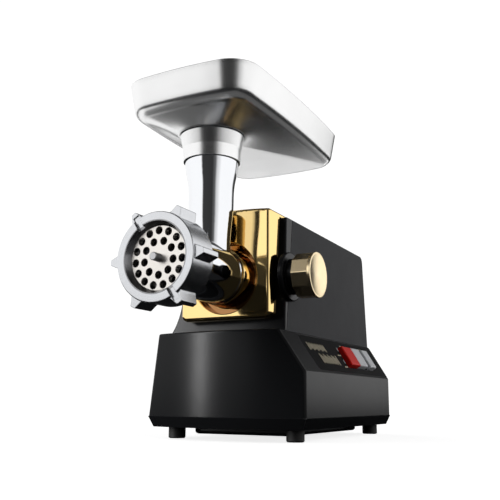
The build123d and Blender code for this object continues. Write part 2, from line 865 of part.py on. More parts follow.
with BuildPart() as front_cover:
    extrude(cover_side_view(cover_front, 0), amount=100, both=True)
    extrude(cover_elevation(0, cover_corner), amount=300, both=True, mode=Mode.INTERSECT)
    cover_rim = front_cover.faces().sort_by(Axis.Y)[0].edges()
    fillet(cover_rim, cover_edge)
    bar(recess_radius, cover_front - 1, recess_floor, mode=Mode.SUBTRACT)
    recess_rim = front_cover.edges().filter_by(GeomType.CIRCLE).filter_by(
        lambda e: abs(e.radius - recess_radius) < 0.01 and abs(e.center().Y - cover_front) < 0.5)
    fillet(recess_rim, 1.2)
    # hollow inside, leaving the sheet and a cup around the recess
    with BuildPart(mode=Mode.PRIVATE) as cover_hollow:
        extrude(cover_side_view(cover_front + cover_sheet, -20), amount=100, both=True)
        extrude(cover_elevation(cover_sheet, cover_corner - cover_sheet / 2), amount=300, both=True, mode=Mode.INTERSECT)
        bar(recess_radius + cover_sheet, cover_front - 1, recess_floor + cover_sheet, mode=Mode.SUBTRACT)
    add(cover_hollow.part, mode=Mode.SUBTRACT)
    # a hood carries the crowned top back over the shell's front edge
    with BuildPart(mode=Mode.PRIVATE) as cover_hood:
        block((-cover_half, cover_half), (cover_front + cover_edge, hood_rear), (shell_top - 1, cover_top))
        extrude(cover_elevation(0, cover_corner), amount=300, both=True, mode=Mode.INTERSECT)
        extrude(
            crown(shell_head_half - shell_wall - seam, shell_top + seam, top_crown, 10),
            amount=200, both=True, mode=Mode.SUBTRACT,
        )
        fillet(cover_hood.edges().group_by(Axis.Y)[-1].filter_by(lambda e: e.center().Z > cover_top - cover_crown - 1), 0.8)
    add(cover_hood.part)
    turned([(neck_front, neck_ring_front_radius), (recess_floor, neck_ring_radius)])
    neck_rim = front_cover.edges().filter_by(GeomType.CIRCLE).filter_by(
        lambda e: abs(e.center().Y - neck_front) < 0.01)
    fillet(neck_rim, 0.8)
    bar(neck_ring_bore, neck_front - 1, recess_floor + cover_sheet + 1, mode=Mode.SUBTRACT)
front_cover.part.label = "front_cover"
export_step(front_cover.part, "parts/front_cover.step")

# head socket and clamp knob

# the knob's disc lies flat on the leaning side of the shell
side_lean = atan2(shell_foot_half - shell_head_half, shell_top - base_top)
shell_side_plane = Plane(
    origin=(shell_half(axis_height), knob_y, axis_height), x_dir=(0, 1, 0), z_dir=(cos(side_lean), 0, sin(side_lean))
)

with BuildPart() as head_socket:
    turned([(neck_front + 0.5, socket_outer), (gearbox_front - socket_flange, socket_outer)])
    turned([(gearbox_front - socket_flange, socket_flange_radius), (gearbox_front, socket_flange_radius)])
    cross_bar(boss_radius, 0, boss_end, knob_y, axis_height)
    block(
        (0, boss_end), (knob_y - boss_radius, gearbox_front),
        (axis_height - boss_radius + 3, axis_height + boss_radius - 3),
    )
    bar(shank_radius + running, neck_front - 1, gearbox_front + 1, mode=Mode.SUBTRACT)
    cross_bar(clamp_rod_radius + running, 0, boss_end + 1, knob_y, axis_height, mode=Mode.SUBTRACT)
    with BuildSketch(front_plane(gearbox_front + 1)) as socket_holes:
        with PolarLocations(socket_bolt_circle, 4, start_angle=45):
            Circle(screw_radius)
    extrude(socket_holes.sketch, amount=socket_flange + 2, mode=Mode.SUBTRACT)
head_socket.part.label = "head_socket"
export_step(head_socket.part, "parts/head_socket.step")

with BuildPart() as socket_screws:
    with BuildSketch(front_plane(gearbox_front - socket_flange)) as screw_heads:
        with PolarLocations(socket_bolt_circle, 4, start_angle=45):
            Circle(screw_head)
    extrude(screw_heads.sketch, amount=screw_head_height)
    with BuildSketch(front_plane(gearbox_front + gearbox_wall)) as screw_shanks:
        with PolarLocations(socket_bolt_circle, 4, start_angle=45):
            Circle(screw_radius)
    extrude(screw_shanks.sketch, amount=gearbox_wall + socket_flange)
socket_screws.part.label = "socket_screws"
export_step(socket_screws.part, "parts/socket_screws.step")

with BuildPart() as knob_escutcheon:
    with BuildSketch(shell_side_plane) as escutcheon_disc:
        Circle(escutcheon_radius)
    extrude(escutcheon_disc.sketch, amount=escutcheon_thickness)
    fillet(knob_escutcheon.faces().sort_by(Axis.X)[-1].edges(), 1.5)
    cross_bar(hub_radius, shell_half(axis_height) + 1, knob_face - knob_length - slip, knob_y, axis_height)
    cross_bar(clamp_rod_radius + 0.8, 0, 100, knob_y, axis_height, mode=Mode.SUBTRACT)
knob_escutcheon.part.label = "knob_escutcheon"
export_step(knob_escutcheon.part, "parts/knob_escutcheon.step")

with BuildPart() as clamp_knob:
    with BuildSketch(side_plane(knob_face - knob_length, knob_y, axis_height)) as knob_outline:
        RegularPolygon(knob_radius - 0.2, knob_flats)
    extrude(knob_outline.sketch, amount=knob_length - knob_rim)
    fillet(clamp_knob.edges().filter_by(Axis.X), 2)
    cross_bar(knob_radius, knob_face - knob_rim, knob_face, knob_y, axis_height)
    fillet(clamp_knob.edges().group_by(Axis.X)[-1], 0.6)
    # shallow spun dish in the face, part of a large sphere
    dish_rim = knob_radius - 1.9
    dish_sphere = (dish_rim**2 + knob_dish**2) / (2 * knob_dish)
    dish_middle = (knob_face - knob_dish + dish_sphere, knob_y, axis_height)
    add(Pos(*dish_middle) * Sphere(dish_sphere, mode=Mode.PRIVATE), mode=Mode.SUBTRACT)
    cross_bar(clamp_rod_radius, 0, knob_face - 5, knob_y, axis_height, mode=Mode.SUBTRACT)
clamp_knob.part.label = "clamp_knob"
export_step(clamp_knob.part, "parts/clamp_knob.step")

with BuildPart() as clamp_rod:
    cross_bar(clamp_rod_radius, shank_radius + slip, knob_face - 5, knob_y, axis_height)
    chamfer(clamp_rod.edges().group_by(Axis.X)[0], 0.8)
clamp_rod.part.label = "clamp_rod"
export_step(clamp_rod.part, "parts/clamp_rod.step")

# grinding head

with BuildPart() as barrel:
    # feed tube: a slender root, widening to its rim
    with BuildSketch(side_plane(0, tube_y, 0)) as tube_profile:
        with BuildLine():
            Polyline((0, tube_top), (0, axis_height), (tube_root_radius, axis_height), (tube_root_radius, tube_foot))
            Spline(
                (tube_root_radius, tube_foot), (tube_radius, tube_foot + 34), (tube_radius + 0.9, tube_top - 40),
                (tube_flare_radius, tube_top - 18), tangents=((0, 1), (0, 1)),
            )
            Polyline((tube_flare_radius, tube_top - 18), (tube_flare_radius, tube_top), (0, tube_top))
        make_face()
    revolve(tube_profile.sketch, axis=tube_axis)
    bar(neck_radius, bell_back + 16, tube_y + 30)
    tube_root = barrel.edges().filter_by(
        lambda e: e.center().Z > axis_height + 10 and e.center().Z < tube_foot + 5
        and e.geom_type not in (GeomType.LINE, GeomType.CIRCLE))
    fillet(tube_root, 3)
    # the tube's root is cut away where the cover's neck stands
    bar(neck_ring_radius + 1.5, shoulder_back, tube_y + 40, mode=Mode.SUBTRACT)
    turned([
        (bell_front, bell_radius),
        (bell_back, bell_radius),
        (bell_back + 9, neck_radius + 0.6),
        (bell_back + 16, neck_radius),
        (shoulder_back - 5, neck_radius),
        (shoulder_back - 3.5, shoulder_radius),
        (shoulder_back, shoulder_radius),
    ])
    bar(shank_radius, shoulder_back - 1, shank_back)
    # bores: plate and knife seat, auger bore, journal and coupler hollow
    bar(plate_radius + 0.1, bell_front - 1, auger_shoulder, mode=Mode.SUBTRACT)
    bar(bore_radius, auger_shoulder - 1, barrel_wall_y - 4, mode=Mode.SUBTRACT)
    bar(tail_journal + running, barrel_wall_y - 5, shank_back + 1, mode=Mode.SUBTRACT)
    bar(coupler_radius + 1, journal_end, shank_back + 1, mode=Mode.SUBTRACT)
    # the throat narrows by a small ledge just above the auger bore, which stops the pusher
    post(throat_radius - throat_ledge, 0, tube_y, axis_height + 14, throat_foot + 1, mode=Mode.SUBTRACT)
    post(throat_radius, 0, tube_y, throat_foot, tube_top + 1, mode=Mode.SUBTRACT)
    spun([(throat_radius, tube_top - 12), (tube_flare_radius - 2, tube_top), (tube_flare_radius - 2, tube_top + 1)],
         mode=Mode.SUBTRACT)
    # locating pin for the plate, at the bottom of its seat
    block((-2, 2), (plate_front + 0.5, knife_front), (axis_height - plate_radius - 1.5, axis_height - plate_radius + 2.2))
barrel.part.label = "barrel"
export_step(barrel.part, "parts/barrel.step")

with BuildPart() as grinding_plate:
    bar(plate_radius, plate_front, knife_front)
    chamfer(grinding_plate.edges(), 0.4)
    with BuildSketch(front_plane(knife_front + 1)) as plate_holes:
        with PolarLocations(inner_hole_ring, inner_hole_count, start_angle=71.6):
            Circle(plate_hole_radius)
        with PolarLocations(outer_hole_ring, outer_hole_count, start_angle=67.1):
            Circle(plate_hole_radius)
        Circle(auger_pin_radius + running)
        with Locations((0, -plate_radius)):
            Rectangle(4.6, 5)
    extrude(plate_holes.sketch, amount=plate_thickness + 2, mode=Mode.SUBTRACT)
grinding_plate.part.label = "grinding_plate"
export_step(grinding_plate.part, "parts/grinding_plate.step")

with BuildPart() as knife:
    bar(14, knife_front + running, auger_shoulder - 0.2)
    with BuildSketch(front_plane(auger_shoulder - 1.5)) as blades:
        with BuildLine():
            # each blade sweeps back from its cutting edge
            Polyline((0, -6), (knife_radius, -3), (knife_radius - 1.5, 4.5), (12, 7), (0, 8), close=True)
        make_face()
    for blade in range(4):
        extrude(blades.sketch.rotate(head_axis, blade * 90), amount=knife_thickness - 1.5 - running, dir=(0, -1, 0))
    with BuildSketch(front_plane(auger_shoulder + 1)) as knife_hole:
        Rectangle(knife_square + 0.3, knife_square + 0.3)
    extrude(knife_hole.sketch, amount=knife_thickness + 3, mode=Mode.SUBTRACT)
knife.part.label = "knife"
export_step(knife.part, "parts/knife.step")

with BuildPart() as auger:
    turned([
        (plate_front - auger_pin_reach, auger_pin_radius - 0.5),
        (plate_front - auger_pin_reach + 0.5, auger_pin_radius),
        (knife_front + 1, auger_pin_radius),
    ])
    block((-knife_square / 2, knife_square / 2), (knife_front + running, auger_shoulder),
          (axis_height - knife_square / 2, axis_height + knife_square / 2))
    turned([(auger_shoulder, auger_core), (auger_back, auger_core + 3)])
    turned([(auger_back, auger_core + 3), (barrel_wall_y - 5, auger_core + 3)])
    bar(tail_journal, barrel_wall_y - 5.2, journal_end)
    block((-tail_square / 2, tail_square / 2), (journal_end, tail_end),
          (axis_height - tail_square / 2, axis_height + tail_square / 2))
    helix_path = Helix(pitch=auger_lead, height=flight_length, radius=auger_core, center=(0, auger_shoulder + 3, axis_height),
                       direction=(0, 1, 0))
    with BuildSketch(Plane(origin=helix_path @ 0, x_dir=(0, 1, 0), z_dir=helix_path % 0)) as flight_section:
        with BuildLine():
            Polyline((-3.2, -2), (3.2, -2), (1.4, 12.2), (-1.4, 12.2), close=True)
        make_face()
    sweep(flight_section.sketch, path=helix_path, is_frenet=True)
auger.part.label = "auger"
export_step(auger.part, "parts/auger.step")

with BuildPart() as ring_nut:
    turned([(nut_front, nut_radius), (nut_back, nut_radius)])
    chamfer(ring_nut.edges().group_by(Axis.Y)[-1], 1.2)
    fillet(ring_nut.edges().group_by(Axis.Y)[0], 0.8)
    # six wing lugs with wide roots and narrow tips
    with BuildSketch(front_plane(nut_front + lug_length + lug_setback)) as lug:
        with BuildLine():
            Polyline(
                (nut_radius - 3, -lug_root / 2), (nut_radius + 1.2, -lug_root / 3), (lug_reach, -lug_tip / 2),
                (lug_reach, lug_tip / 2), (nut_radius + 1.2, lug_root / 3), (nut_radius - 3, lug_root / 2),
                close=True,
            )
        make_face()
        fillet(lug.vertices().group_by(Axis.X)[-1], 1.2)
        fillet(lug.vertices().group_by(Axis.X)[1], 4)
    for turn in range(lug_count):
        extrude(lug.sketch.rotate(head_axis, -lug_turn - turn * 360 / lug_count), amount=lug_length, dir=(0, -1, 0))
    turned([(nut_front - 1, nut_mouth_radius), (nut_front + 0.01, nut_mouth_radius), (plate_front - nut_gap, nut_seat_radius),
            (plate_front - nut_gap + 1, nut_seat_radius)], mode=Mode.SUBTRACT)
    bar(bell_radius + nut_thread_gap, plate_front - nut_gap, nut_back + 1, mode=Mode.SUBTRACT)
    # two spanner slots across the face
    for angle in (121, 301):
        with BuildSketch(front_plane(nut_front + 3)) as slot:
            with PolarLocations(nut_radius - 4, 1, start_angle=angle):
                Rectangle(16, 6)
        extrude(slot.sketch, amount=4, mode=Mode.SUBTRACT)
ring_nut.part.label = "ring_nut"
export_step(ring_nut.part, "parts/ring_nut.step")

# feed tray


# the tray seen from above at a height, its sides bowed out, pulled in all round by inset
def tray_plan(inset, z):
    half = tray_half_width - inset
    front = tray_front + inset
    back = tray_back - inset
    middle = (front + back) / 2
    end_bow = tray_bulge
    with BuildSketch(Plane.XY.offset(z)) as plan:
        with BuildLine():
            ThreePointArc((-half + tray_bulge, front + end_bow), (0, front), (half - tray_bulge, front + end_bow))
            ThreePointArc((half - tray_bulge, front + end_bow), (half, middle), (half - tray_bulge, back - end_bow))
            ThreePointArc((half - tray_bulge, back - end_bow), (0, back), (-half + tray_bulge, back - end_bow))
            ThreePointArc((-half + tray_bulge, back - end_bow), (-half, middle), (-half + tray_bulge, front + end_bow))
        make_face()
        fillet(plan.vertices(), tray_corner - inset)
    return plan.sketch


# the throat ring under the tray that the dished floor runs down to
def tray_throat(radius, z):
    with BuildSketch(Plane.XY.offset(z)) as throat:
        with Locations((0, tube_y)):
            Circle(radius)
    return throat.sketch


with BuildPart() as feed_tray:
    loft([tray_plan(tray_taper, tray_floor).face(), tray_plan(0, tray_rim).face()], ruled=True)
    loft([tray_plan(tray_taper, tray_floor).face(), tray_throat(collar_head_radius + 1.5, collar_head).face()], ruled=True)
    fillet(feed_tray.edges().filter_by(lambda e: abs(e.center().Z - tray_floor) < 0.1), 4)
    fillet(feed_tray.edges().group_by(Axis.Z)[-1], 0.3)
    loft(
        [tray_plan(tray_taper + tray_sheet, tray_floor + tray_sheet).face(), tray_plan(tray_sheet, tray_rim).face()],
        ruled=True, mode=Mode.SUBTRACT,
    )
    loft(
        [
            tray_plan(tray_taper + tray_sheet, tray_floor + tray_sheet).face(),
            tray_throat(collar_head_radius + 0.5, collar_head + tray_sheet).face(),
        ],
        ruled=True, mode=Mode.SUBTRACT,
    )
    post(collar_mouth, 0, tube_y, collar_head - 1, tray_floor, mode=Mode.SUBTRACT)
feed_tray.part.label = "feed_tray"
export_step(feed_tray.part, "parts/feed_tray.step")

with BuildPart() as tray_collar:
    spun([
        (collar_foot_radius, collar_foot),
        (collar_foot_radius + 0.8, collar_foot + 12),
        (collar_head_radius, collar_head - 1.5),
        (collar_head_radius + 1.2, collar_head),
    ])
    spun([
        (tube_flare_radius + slip, collar_foot - 1),
        (tube_flare_radius + slip, tube_top + 1),
        (collar_mouth, tube_top + 1.1),
        (collar_mouth, collar_head + 1),
    ], mode=Mode.SUBTRACT)
tray_collar.part.label = "tray_collar"
export_step(tray_collar.part, "parts/tray_collar.step")

# reduction gearbox

with BuildPart() as gearbox_housing:
    block((-gearbox_half, gearbox_half), (gearbox_front, gearbox_back), (gearbox_bottom, gearbox_top))
    fillet(gearbox_housing.edges().filter_by(Axis.Y), 8)
    with BuildPart(mode=Mode.PRIVATE) as gearbox_room:
        block(
            (-gearbox_half + gearbox_wall, gearbox_half - gearbox_wall),
            (gearbox_front + gearbox_wall + 1, gearbox_back + 1),
            (gearbox_bottom + gearbox_wall, gearbox_top - gearbox_wall),
        )
        fillet(gearbox_room.edges().filter_by(Axis.Y), 5)
    add(gearbox_room.part, mode=Mode.SUBTRACT)
    bar(bush_outer + 5, gearbox_front + 3, output_bush_back)
    bar(layshaft_bush_outer + 4, gearbox_front + 3, layshaft_bush_back, z=layshaft_height)
    bar(bush_outer, gearbox_front - 1, output_bush_back + 1, mode=Mode.SUBTRACT)
    bar(layshaft_bush_outer, layshaft_bush_front, layshaft_bush_back + 1, z=layshaft_height, mode=Mode.SUBTRACT)
    with BuildSketch(front_plane(gearbox_front + gearbox_wall)) as socket_taps:
        with PolarLocations(socket_bolt_circle, 4, start_angle=45):
            Circle(screw_radius)
    extrude(socket_taps.sketch, amount=gearbox_wall + 1, mode=Mode.SUBTRACT)
    # lugs that stand on the base's deck
    for x, y in lug_places:
        inner = gearbox_half - 2 if x > 0 else -gearbox_half + 2
        outer = x + 7 if x > 0 else x - 7
        block(sorted((inner, outer)), (y - 7, y + 7), (base_top, base_top + 5))
        post(screw_radius, x, y, base_top - 1, base_top + 6, mode=Mode.SUBTRACT)
    for x, z in cover_screw_places:
        bar(screw_radius, gearbox_back - 8, gearbox_back + 1, x=x, z=z, mode=Mode.SUBTRACT)
gearbox_housing.part.label = "gearbox_housing"
export_step(gearbox_housing.part, "parts/gearbox_housing.step")

with BuildPart() as gearbox_screws:
    for x, y in lug_places:
        post(screw_head, x, y, base_top + 5, base_top + 5 + screw_head_height)
        post(screw_radius, x, y, deck_bottom - 4, base_top + 5)
gearbox_screws.part.label = "gearbox_screws"
export_step(gearbox_screws.part, "parts/gearbox_screws.step")

with BuildPart() as gearbox_cover:
    block((-gearbox_half, gearbox_half), (gearbox_back, gearbox_back + gearbox_cover_thickness),
          (gearbox_bottom, gearbox_top))
    fillet(gearbox_cover.edges().filter_by(Axis.Y), 8)
    bar(motor_shaft_radius + 1.5, gearbox_back - 1, gearbox_back + 10, mode=Mode.SUBTRACT)
    bar(layshaft_bush_outer, gearbox_back - 1, gearbox_back + 10, z=layshaft_height, mode=Mode.SUBTRACT)
    for x, z in cover_screw_places:
        bar(screw_radius, gearbox_back - 1, gearbox_back + 10, x=x, z=z, mode=Mode.SUBTRACT)
gearbox_cover.part.label = "gearbox_cover"
export_step(gearbox_cover.part, "parts/gearbox_cover.step")

with BuildPart() as cover_screws:
    for x, z in cover_screw_places:
        back = gearbox_back + gearbox_cover_thickness
        bar(screw_radius, gearbox_back - 7, back, x=x, z=z)
        bar(screw_head, back, back + screw_head_height, x=x, z=z)
cover_screws.part.label = "cover_screws"
export_step(cover_screws.part, "parts/cover_screws.step")

with BuildPart() as bearing_carrier:
    block(
        (-gearbox_half + gearbox_wall, gearbox_half - gearbox_wall),
        (carrier_front, carrier_front + 5),
        (gearbox_bottom + gearbox_wall, gearbox_top - gearbox_wall),
    )
    fillet(bearing_carrier.edges().filter_by(Axis.Y), 5)
    bar(rear_bush_outer, carrier_front - 1, carrier_front + 6, mode=Mode.SUBTRACT)
    bar(layshaft_radius + 1.5, carrier_front - 1, carrier_front + 6, z=layshaft_height, mode=Mode.SUBTRACT)
bearing_carrier.part.label = "bearing_carrier"
export_step(bearing_carrier.part, "parts/bearing_carrier.step")

with BuildPart() as bronze_bushes:
    bar(bush_outer, gearbox_front, output_bush_back)
    bar(output_shaft_radius + running, gearbox_front - 1, output_bush_back + 1, mode=Mode.SUBTRACT)
    bar(rear_bush_outer, carrier_front, carrier_front + 5)
    bar(rear_journal + running, carrier_front - 1, carrier_front + 6, mode=Mode.SUBTRACT)
    for y_front, y_back in ((layshaft_bush_front, layshaft_bush_back), (gearbox_back, gearbox_back + 5)):
        bar(layshaft_bush_outer, y_front, y_back, z=layshaft_height)
        bar(layshaft_journal + running, y_front - 0.5, y_back + 1, z=layshaft_height, mode=Mode.SUBTRACT)
bronze_bushes.part.label = "bronze_bushes"
export_step(bronze_bushes.part, "parts/bronze_bushes.step")

with BuildPart() as output_shaft:
    turned([(coupler_front, coupler_radius), (coupler_back, coupler_radius)])
    chamfer(output_shaft.edges(), 0.6)
    turned([(coupler_back - 1, output_shaft_radius), (output_gear_back + 2, output_shaft_radius)])
    turned([(output_gear_back + 1, rear_journal), (carrier_front + 6, rear_journal)])
    block((-tail_square / 2 - slip, tail_square / 2 + slip), (coupler_front - 1, tail_end + 1),
          (axis_height - tail_square / 2 - slip, axis_height + tail_square / 2 + slip), mode=Mode.SUBTRACT)
output_shaft.part.label = "output_shaft"
export_step(output_shaft.part, "parts/output_shaft.step")

with BuildPart() as output_gear:
    gear(gear_teeth, 180 / gear_teeth, output_gear_back - output_gear_width, output_gear_back, axis_height)
    bar(output_shaft_radius, output_gear_back - 20, output_gear_back + 1, mode=Mode.SUBTRACT)
    with BuildSketch(front_plane(output_gear_back + 1)) as lightening:
        with PolarLocations(16, 6):
            Circle(4)
    extrude(lightening.sketch, amount=output_gear_width + 2, mode=Mode.SUBTRACT)
output_gear.part.label = "output_gear"
export_step(output_gear.part, "parts/output_gear.step")

with BuildPart() as layshaft:
    gear(pinion_teeth, 180 / pinion_teeth, output_gear_back - output_gear_width - 1, output_gear_back + 1.5,
         layshaft_height)
    bar(layshaft_journal, layshaft_bush_front + slip, output_gear_back, z=layshaft_height)
    bar(layshaft_radius, output_gear_back + 1.5, gearbox_back - slip, z=layshaft_height)
    bar(layshaft_journal, gearbox_back - 1, gearbox_back + 4.5, z=layshaft_height)
layshaft.part.label = "layshaft"
export_step(layshaft.part, "parts/layshaft.step")

with BuildPart() as layshaft_gear:
    gear(gear_teeth, 180 / gear_teeth, layshaft_gear_back - layshaft_gear_width, layshaft_gear_back, layshaft_height)
    bar(layshaft_radius, layshaft_gear_back - 20, layshaft_gear_back + 1, z=layshaft_height, mode=Mode.SUBTRACT)
layshaft_gear.part.label = "layshaft_gear"
export_step(layshaft_gear.part, "parts/layshaft_gear.step")

# motor

with BuildPart() as motor_shaft:
    bar(pinion_seat, layshaft_gear_back - layshaft_gear_width - 0.5, layshaft_gear_back + 2)
    bar(motor_shaft_radius, layshaft_gear_back + 1.5, motor_shaft_back)
    chamfer(motor_shaft.edges().group_by(Axis.Y)[-1], 0.6)
motor_shaft.part.label = "motor_shaft"
export_step(motor_shaft.part, "parts/motor_shaft.step")

with BuildPart() as motor_pinion:
    gear(pinion_teeth, 180 / pinion_teeth, layshaft_gear_back - layshaft_gear_width, layshaft_gear_back + 1, axis_height)
    bar(pinion_seat, layshaft_gear_back - 20, layshaft_gear_back + 2, mode=Mode.SUBTRACT)
motor_pinion.part.label = "motor_pinion"
export_step(motor_pinion.part, "parts/motor_pinion.step")

with BuildPart() as cooling_fan:
    bar(8, fan_front, fan_back)
    bar(fan_radius, fan_front, fan_front + 1.6)
    with BuildSketch(front_plane(fan_back)) as fan_blade_rows:
        with PolarLocations((fan_radius + 8) / 2, fan_blades):
            Rectangle(fan_radius - 8, 1.6, rotation=20)
    extrude(fan_blade_rows.sketch, amount=fan_back - fan_front)
    bar(motor_shaft_radius, fan_front - 1, fan_back + 1, mode=Mode.SUBTRACT)
cooling_fan.part.label = "cooling_fan"
export_step(cooling_fan.part, "parts/cooling_fan.step")

with BuildPart() as armature_core:
    bar(rotor_radius, stator_front + 1, stator_back - 1)
    with BuildSketch(front_plane(stator_back)) as rotor_slots:
        with PolarLocations(rotor_radius - 3.5, 12):
            Rectangle(8, 2)
    extrude(rotor_slots.sketch, amount=60, mode=Mode.SUBTRACT)
    bar(motor_shaft_radius, 0, 60, mode=Mode.SUBTRACT)
armature_core.part.label = "armature_core"
export_step(armature_core.part, "parts/armature_core.step")

with BuildPart() as armature_winding:
    for y_front, y_back in ((stator_front - 4, stator_front + 1), (stator_back - 1, stator_back + 6)):
        turned([(y_front, 12), (y_front + 1, 17), (y_back - 1, 18), (y_back, 18)])
        bar(motor_shaft_radius, y_front - 1, y_back + 1, mode=Mode.SUBTRACT)
armature_winding.part.label = "armature_winding"
export_step(armature_winding.part, "parts/armature_winding.step")

with BuildPart() as commutator:
    bar(commutator_radius, commutator_front, commutator_back)
    with BuildSketch(front_plane(commutator_back - 2)) as segment_gaps:
        with PolarLocations(commutator_radius, 12):
            Rectangle(2, 0.6)
    extrude(segment_gaps.sketch, amount=30, mode=Mode.SUBTRACT)
    bar(motor_shaft_radius, commutator_front - 1, commutator_back + 1, mode=Mode.SUBTRACT)
commutator.part.label = "commutator"
export_step(commutator.part, "parts/commutator.step")

with BuildPart() as stator:
    block((-stator_half_width, stator_half_width), (stator_front, stator_back),
          (axis_height - stator_half_height, axis_height + stator_half_height))
    fillet(stator.edges().filter_by(Axis.Y), 8)
    bar(stator_bore, 0, 60, mode=Mode.SUBTRACT)
    # windows that the field coils are wound through
    for side in (-1, 1):
        for end in (-1, 1):
            block(sorted((side * 12, side * 29)), (0, 60),
                  sorted((axis_height + end * 14, axis_height + end * 31)), mode=Mode.SUBTRACT)
    for x, z in bolt_places:
        bar(bolt_radius + 0.2, 0, 60, x=x, z=z, mode=Mode.SUBTRACT)
stator.part.label = "stator"
export_step(stator.part, "parts/stator.step")

with BuildPart() as field_coils:
    for end in (-1, 1):
        # each coil fills its two windows and turns across the pole at both faces
        inner = axis_height + end * 20
        outer = axis_height + end * 30
        for side in (-1, 1):
            block(sorted((side * 17, side * 28)), (stator_front - 5, stator_back + 6), sorted((inner, outer)))
        for y_front, y_back in ((stator_front - 5, stator_front), (stator_back, stator_back + 6)):
            block((-17, 17), (y_front, y_back), sorted((inner + end * 3, outer)))
field_coils.part.label = "field_coils"
export_step(field_coils.part, "parts/field_coils.step")


# a cast bracket that carries one motor bearing and stands on the deck
def motor_bracket(y_front, y_back, foot_y):
    with BuildPart() as bracket:
        block((-stator_half_width, stator_half_width), (y_front, y_back), (base_top, axis_height + stator_half_height))
        fillet(bracket.edges().filter_by(Axis.Y).group_by(Axis.Z)[-1], 8)
        block((-lug_x - 6, lug_x + 6), (min(y_front, foot_y - 6), max(y_back, foot_y + 6)), (base_top, base_top + 4))
        bar(bearing_outer, y_front - 1, y_back + 1, mode=Mode.SUBTRACT)
        # air windows
        for side in (-1, 1):
            for end in (-1, 1):
                block(sorted((side * 13, side * 27)), (y_front - 1, y_back + 1),
                      sorted((axis_height + end * 13, axis_height + end * 27)), mode=Mode.SUBTRACT)
        for x, z in bolt_places:
            bar(bolt_radius, y_front - 1, y_back + 1, x=x, z=z, mode=Mode.SUBTRACT)
        for x in (-lug_x, lug_x):
            post(screw_radius, x, foot_y, base_top - 1, base_top + 5, mode=Mode.SUBTRACT)
    return bracket.part


with BuildPart() as front_motor_bracket:
    add(motor_bracket(front_bracket, front_bracket + bracket_thickness, bracket_places[0][1]))
front_motor_bracket.part.label = "front_motor_bracket"
export_step(front_motor_bracket.part, "parts/front_motor_bracket.step")

with BuildPart() as rear_motor_bracket:
    add(motor_bracket(rear_bracket, rear_bracket + bracket_thickness, bracket_places[1][1]))
rear_motor_bracket.part.label = "rear_motor_bracket"
export_step(rear_motor_bracket.part, "parts/rear_motor_bracket.step")

with BuildPart() as motor_bearings:
    for y_front in (front_bracket, rear_bracket):
        bar(bearing_outer, y_front, y_front + bracket_thickness)
        bar(motor_shaft_radius + running, y_front - 1, y_front + bracket_thickness + 1, mode=Mode.SUBTRACT)
motor_bearings.part.label = "motor_bearings"
export_step(motor_bearings.part, "parts/motor_bearings.step")

with BuildPart() as motor_bolts:
    for x, z in bolt_places:
        bar(bolt_radius, front_bracket - 3, rear_bracket + bracket_thickness, x=x, z=z)
        bar(screw_head, rear_bracket + bracket_thickness, rear_bracket + bracket_thickness + screw_head_height, x=x, z=z)
motor_bolts.part.label = "motor_bolts"
export_step(motor_bolts.part, "parts/motor_bolts.step")

with BuildPart() as bracket_screws:
    for x, y in bracket_places:
        post(screw_head, x, y, base_top + 4, base_top + 4 + screw_head_height)
        post(screw_radius, x, y, deck_bottom - 4, base_top + 4)
bracket_screws.part.label = "bracket_screws"
export_step(bracket_screws.part, "parts/bracket_screws.step")

with BuildPart() as brush_holders:
    for side in (-1, 1):
        block(sorted((side * 14, side * 34)), (commutator_front + 1, rear_bracket), (axis_height - 6, axis_height + 6))
        block(sorted((side * 13, side * 32)), (brush_front, brush_back), (axis_height - 4, axis_height + 4),
              mode=Mode.SUBTRACT)
brush_holders.part.label = "brush_holders"
export_step(brush_holders.part, "parts/brush_holders.step")

with BuildPart() as carbon_brushes:
    for side in (-1, 1):
        block(sorted((side * (commutator_radius + 0.3), side * 26)), (brush_front, brush_back),
              (axis_height - 4, axis_height + 4))
        bar(commutator_radius + 0.3, 0, 90, mode=Mode.SUBTRACT)
carbon_brushes.part.label = "carbon_brushes"
export_step(carbon_brushes.part, "parts/carbon_brushes.step")
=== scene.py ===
import json
import math

import bmesh
import bpy
from mathutils import Matrix, Vector


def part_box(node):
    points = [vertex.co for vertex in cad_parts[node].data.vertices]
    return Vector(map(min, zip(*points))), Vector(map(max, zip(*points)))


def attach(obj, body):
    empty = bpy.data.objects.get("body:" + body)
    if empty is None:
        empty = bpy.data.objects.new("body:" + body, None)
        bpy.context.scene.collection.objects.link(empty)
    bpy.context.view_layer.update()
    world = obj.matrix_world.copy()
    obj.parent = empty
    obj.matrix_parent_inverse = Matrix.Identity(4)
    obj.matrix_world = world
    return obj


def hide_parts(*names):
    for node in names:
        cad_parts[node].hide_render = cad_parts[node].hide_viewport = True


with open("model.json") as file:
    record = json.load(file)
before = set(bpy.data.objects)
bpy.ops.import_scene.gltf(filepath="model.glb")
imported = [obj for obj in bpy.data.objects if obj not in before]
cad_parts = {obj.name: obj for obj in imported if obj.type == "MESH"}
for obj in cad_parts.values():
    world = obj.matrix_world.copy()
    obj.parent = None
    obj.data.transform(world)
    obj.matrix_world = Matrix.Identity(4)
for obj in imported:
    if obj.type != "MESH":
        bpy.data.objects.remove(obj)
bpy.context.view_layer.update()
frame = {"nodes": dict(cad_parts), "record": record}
scene = bpy.context.scene
print("stage: grinder frame loaded")


cameraSettings = {"place": (0.3316, -0.6993, 0.0359), "turn": 27.94, "tilt": -12.12, "roll": 0.43, "lens": 50.6}


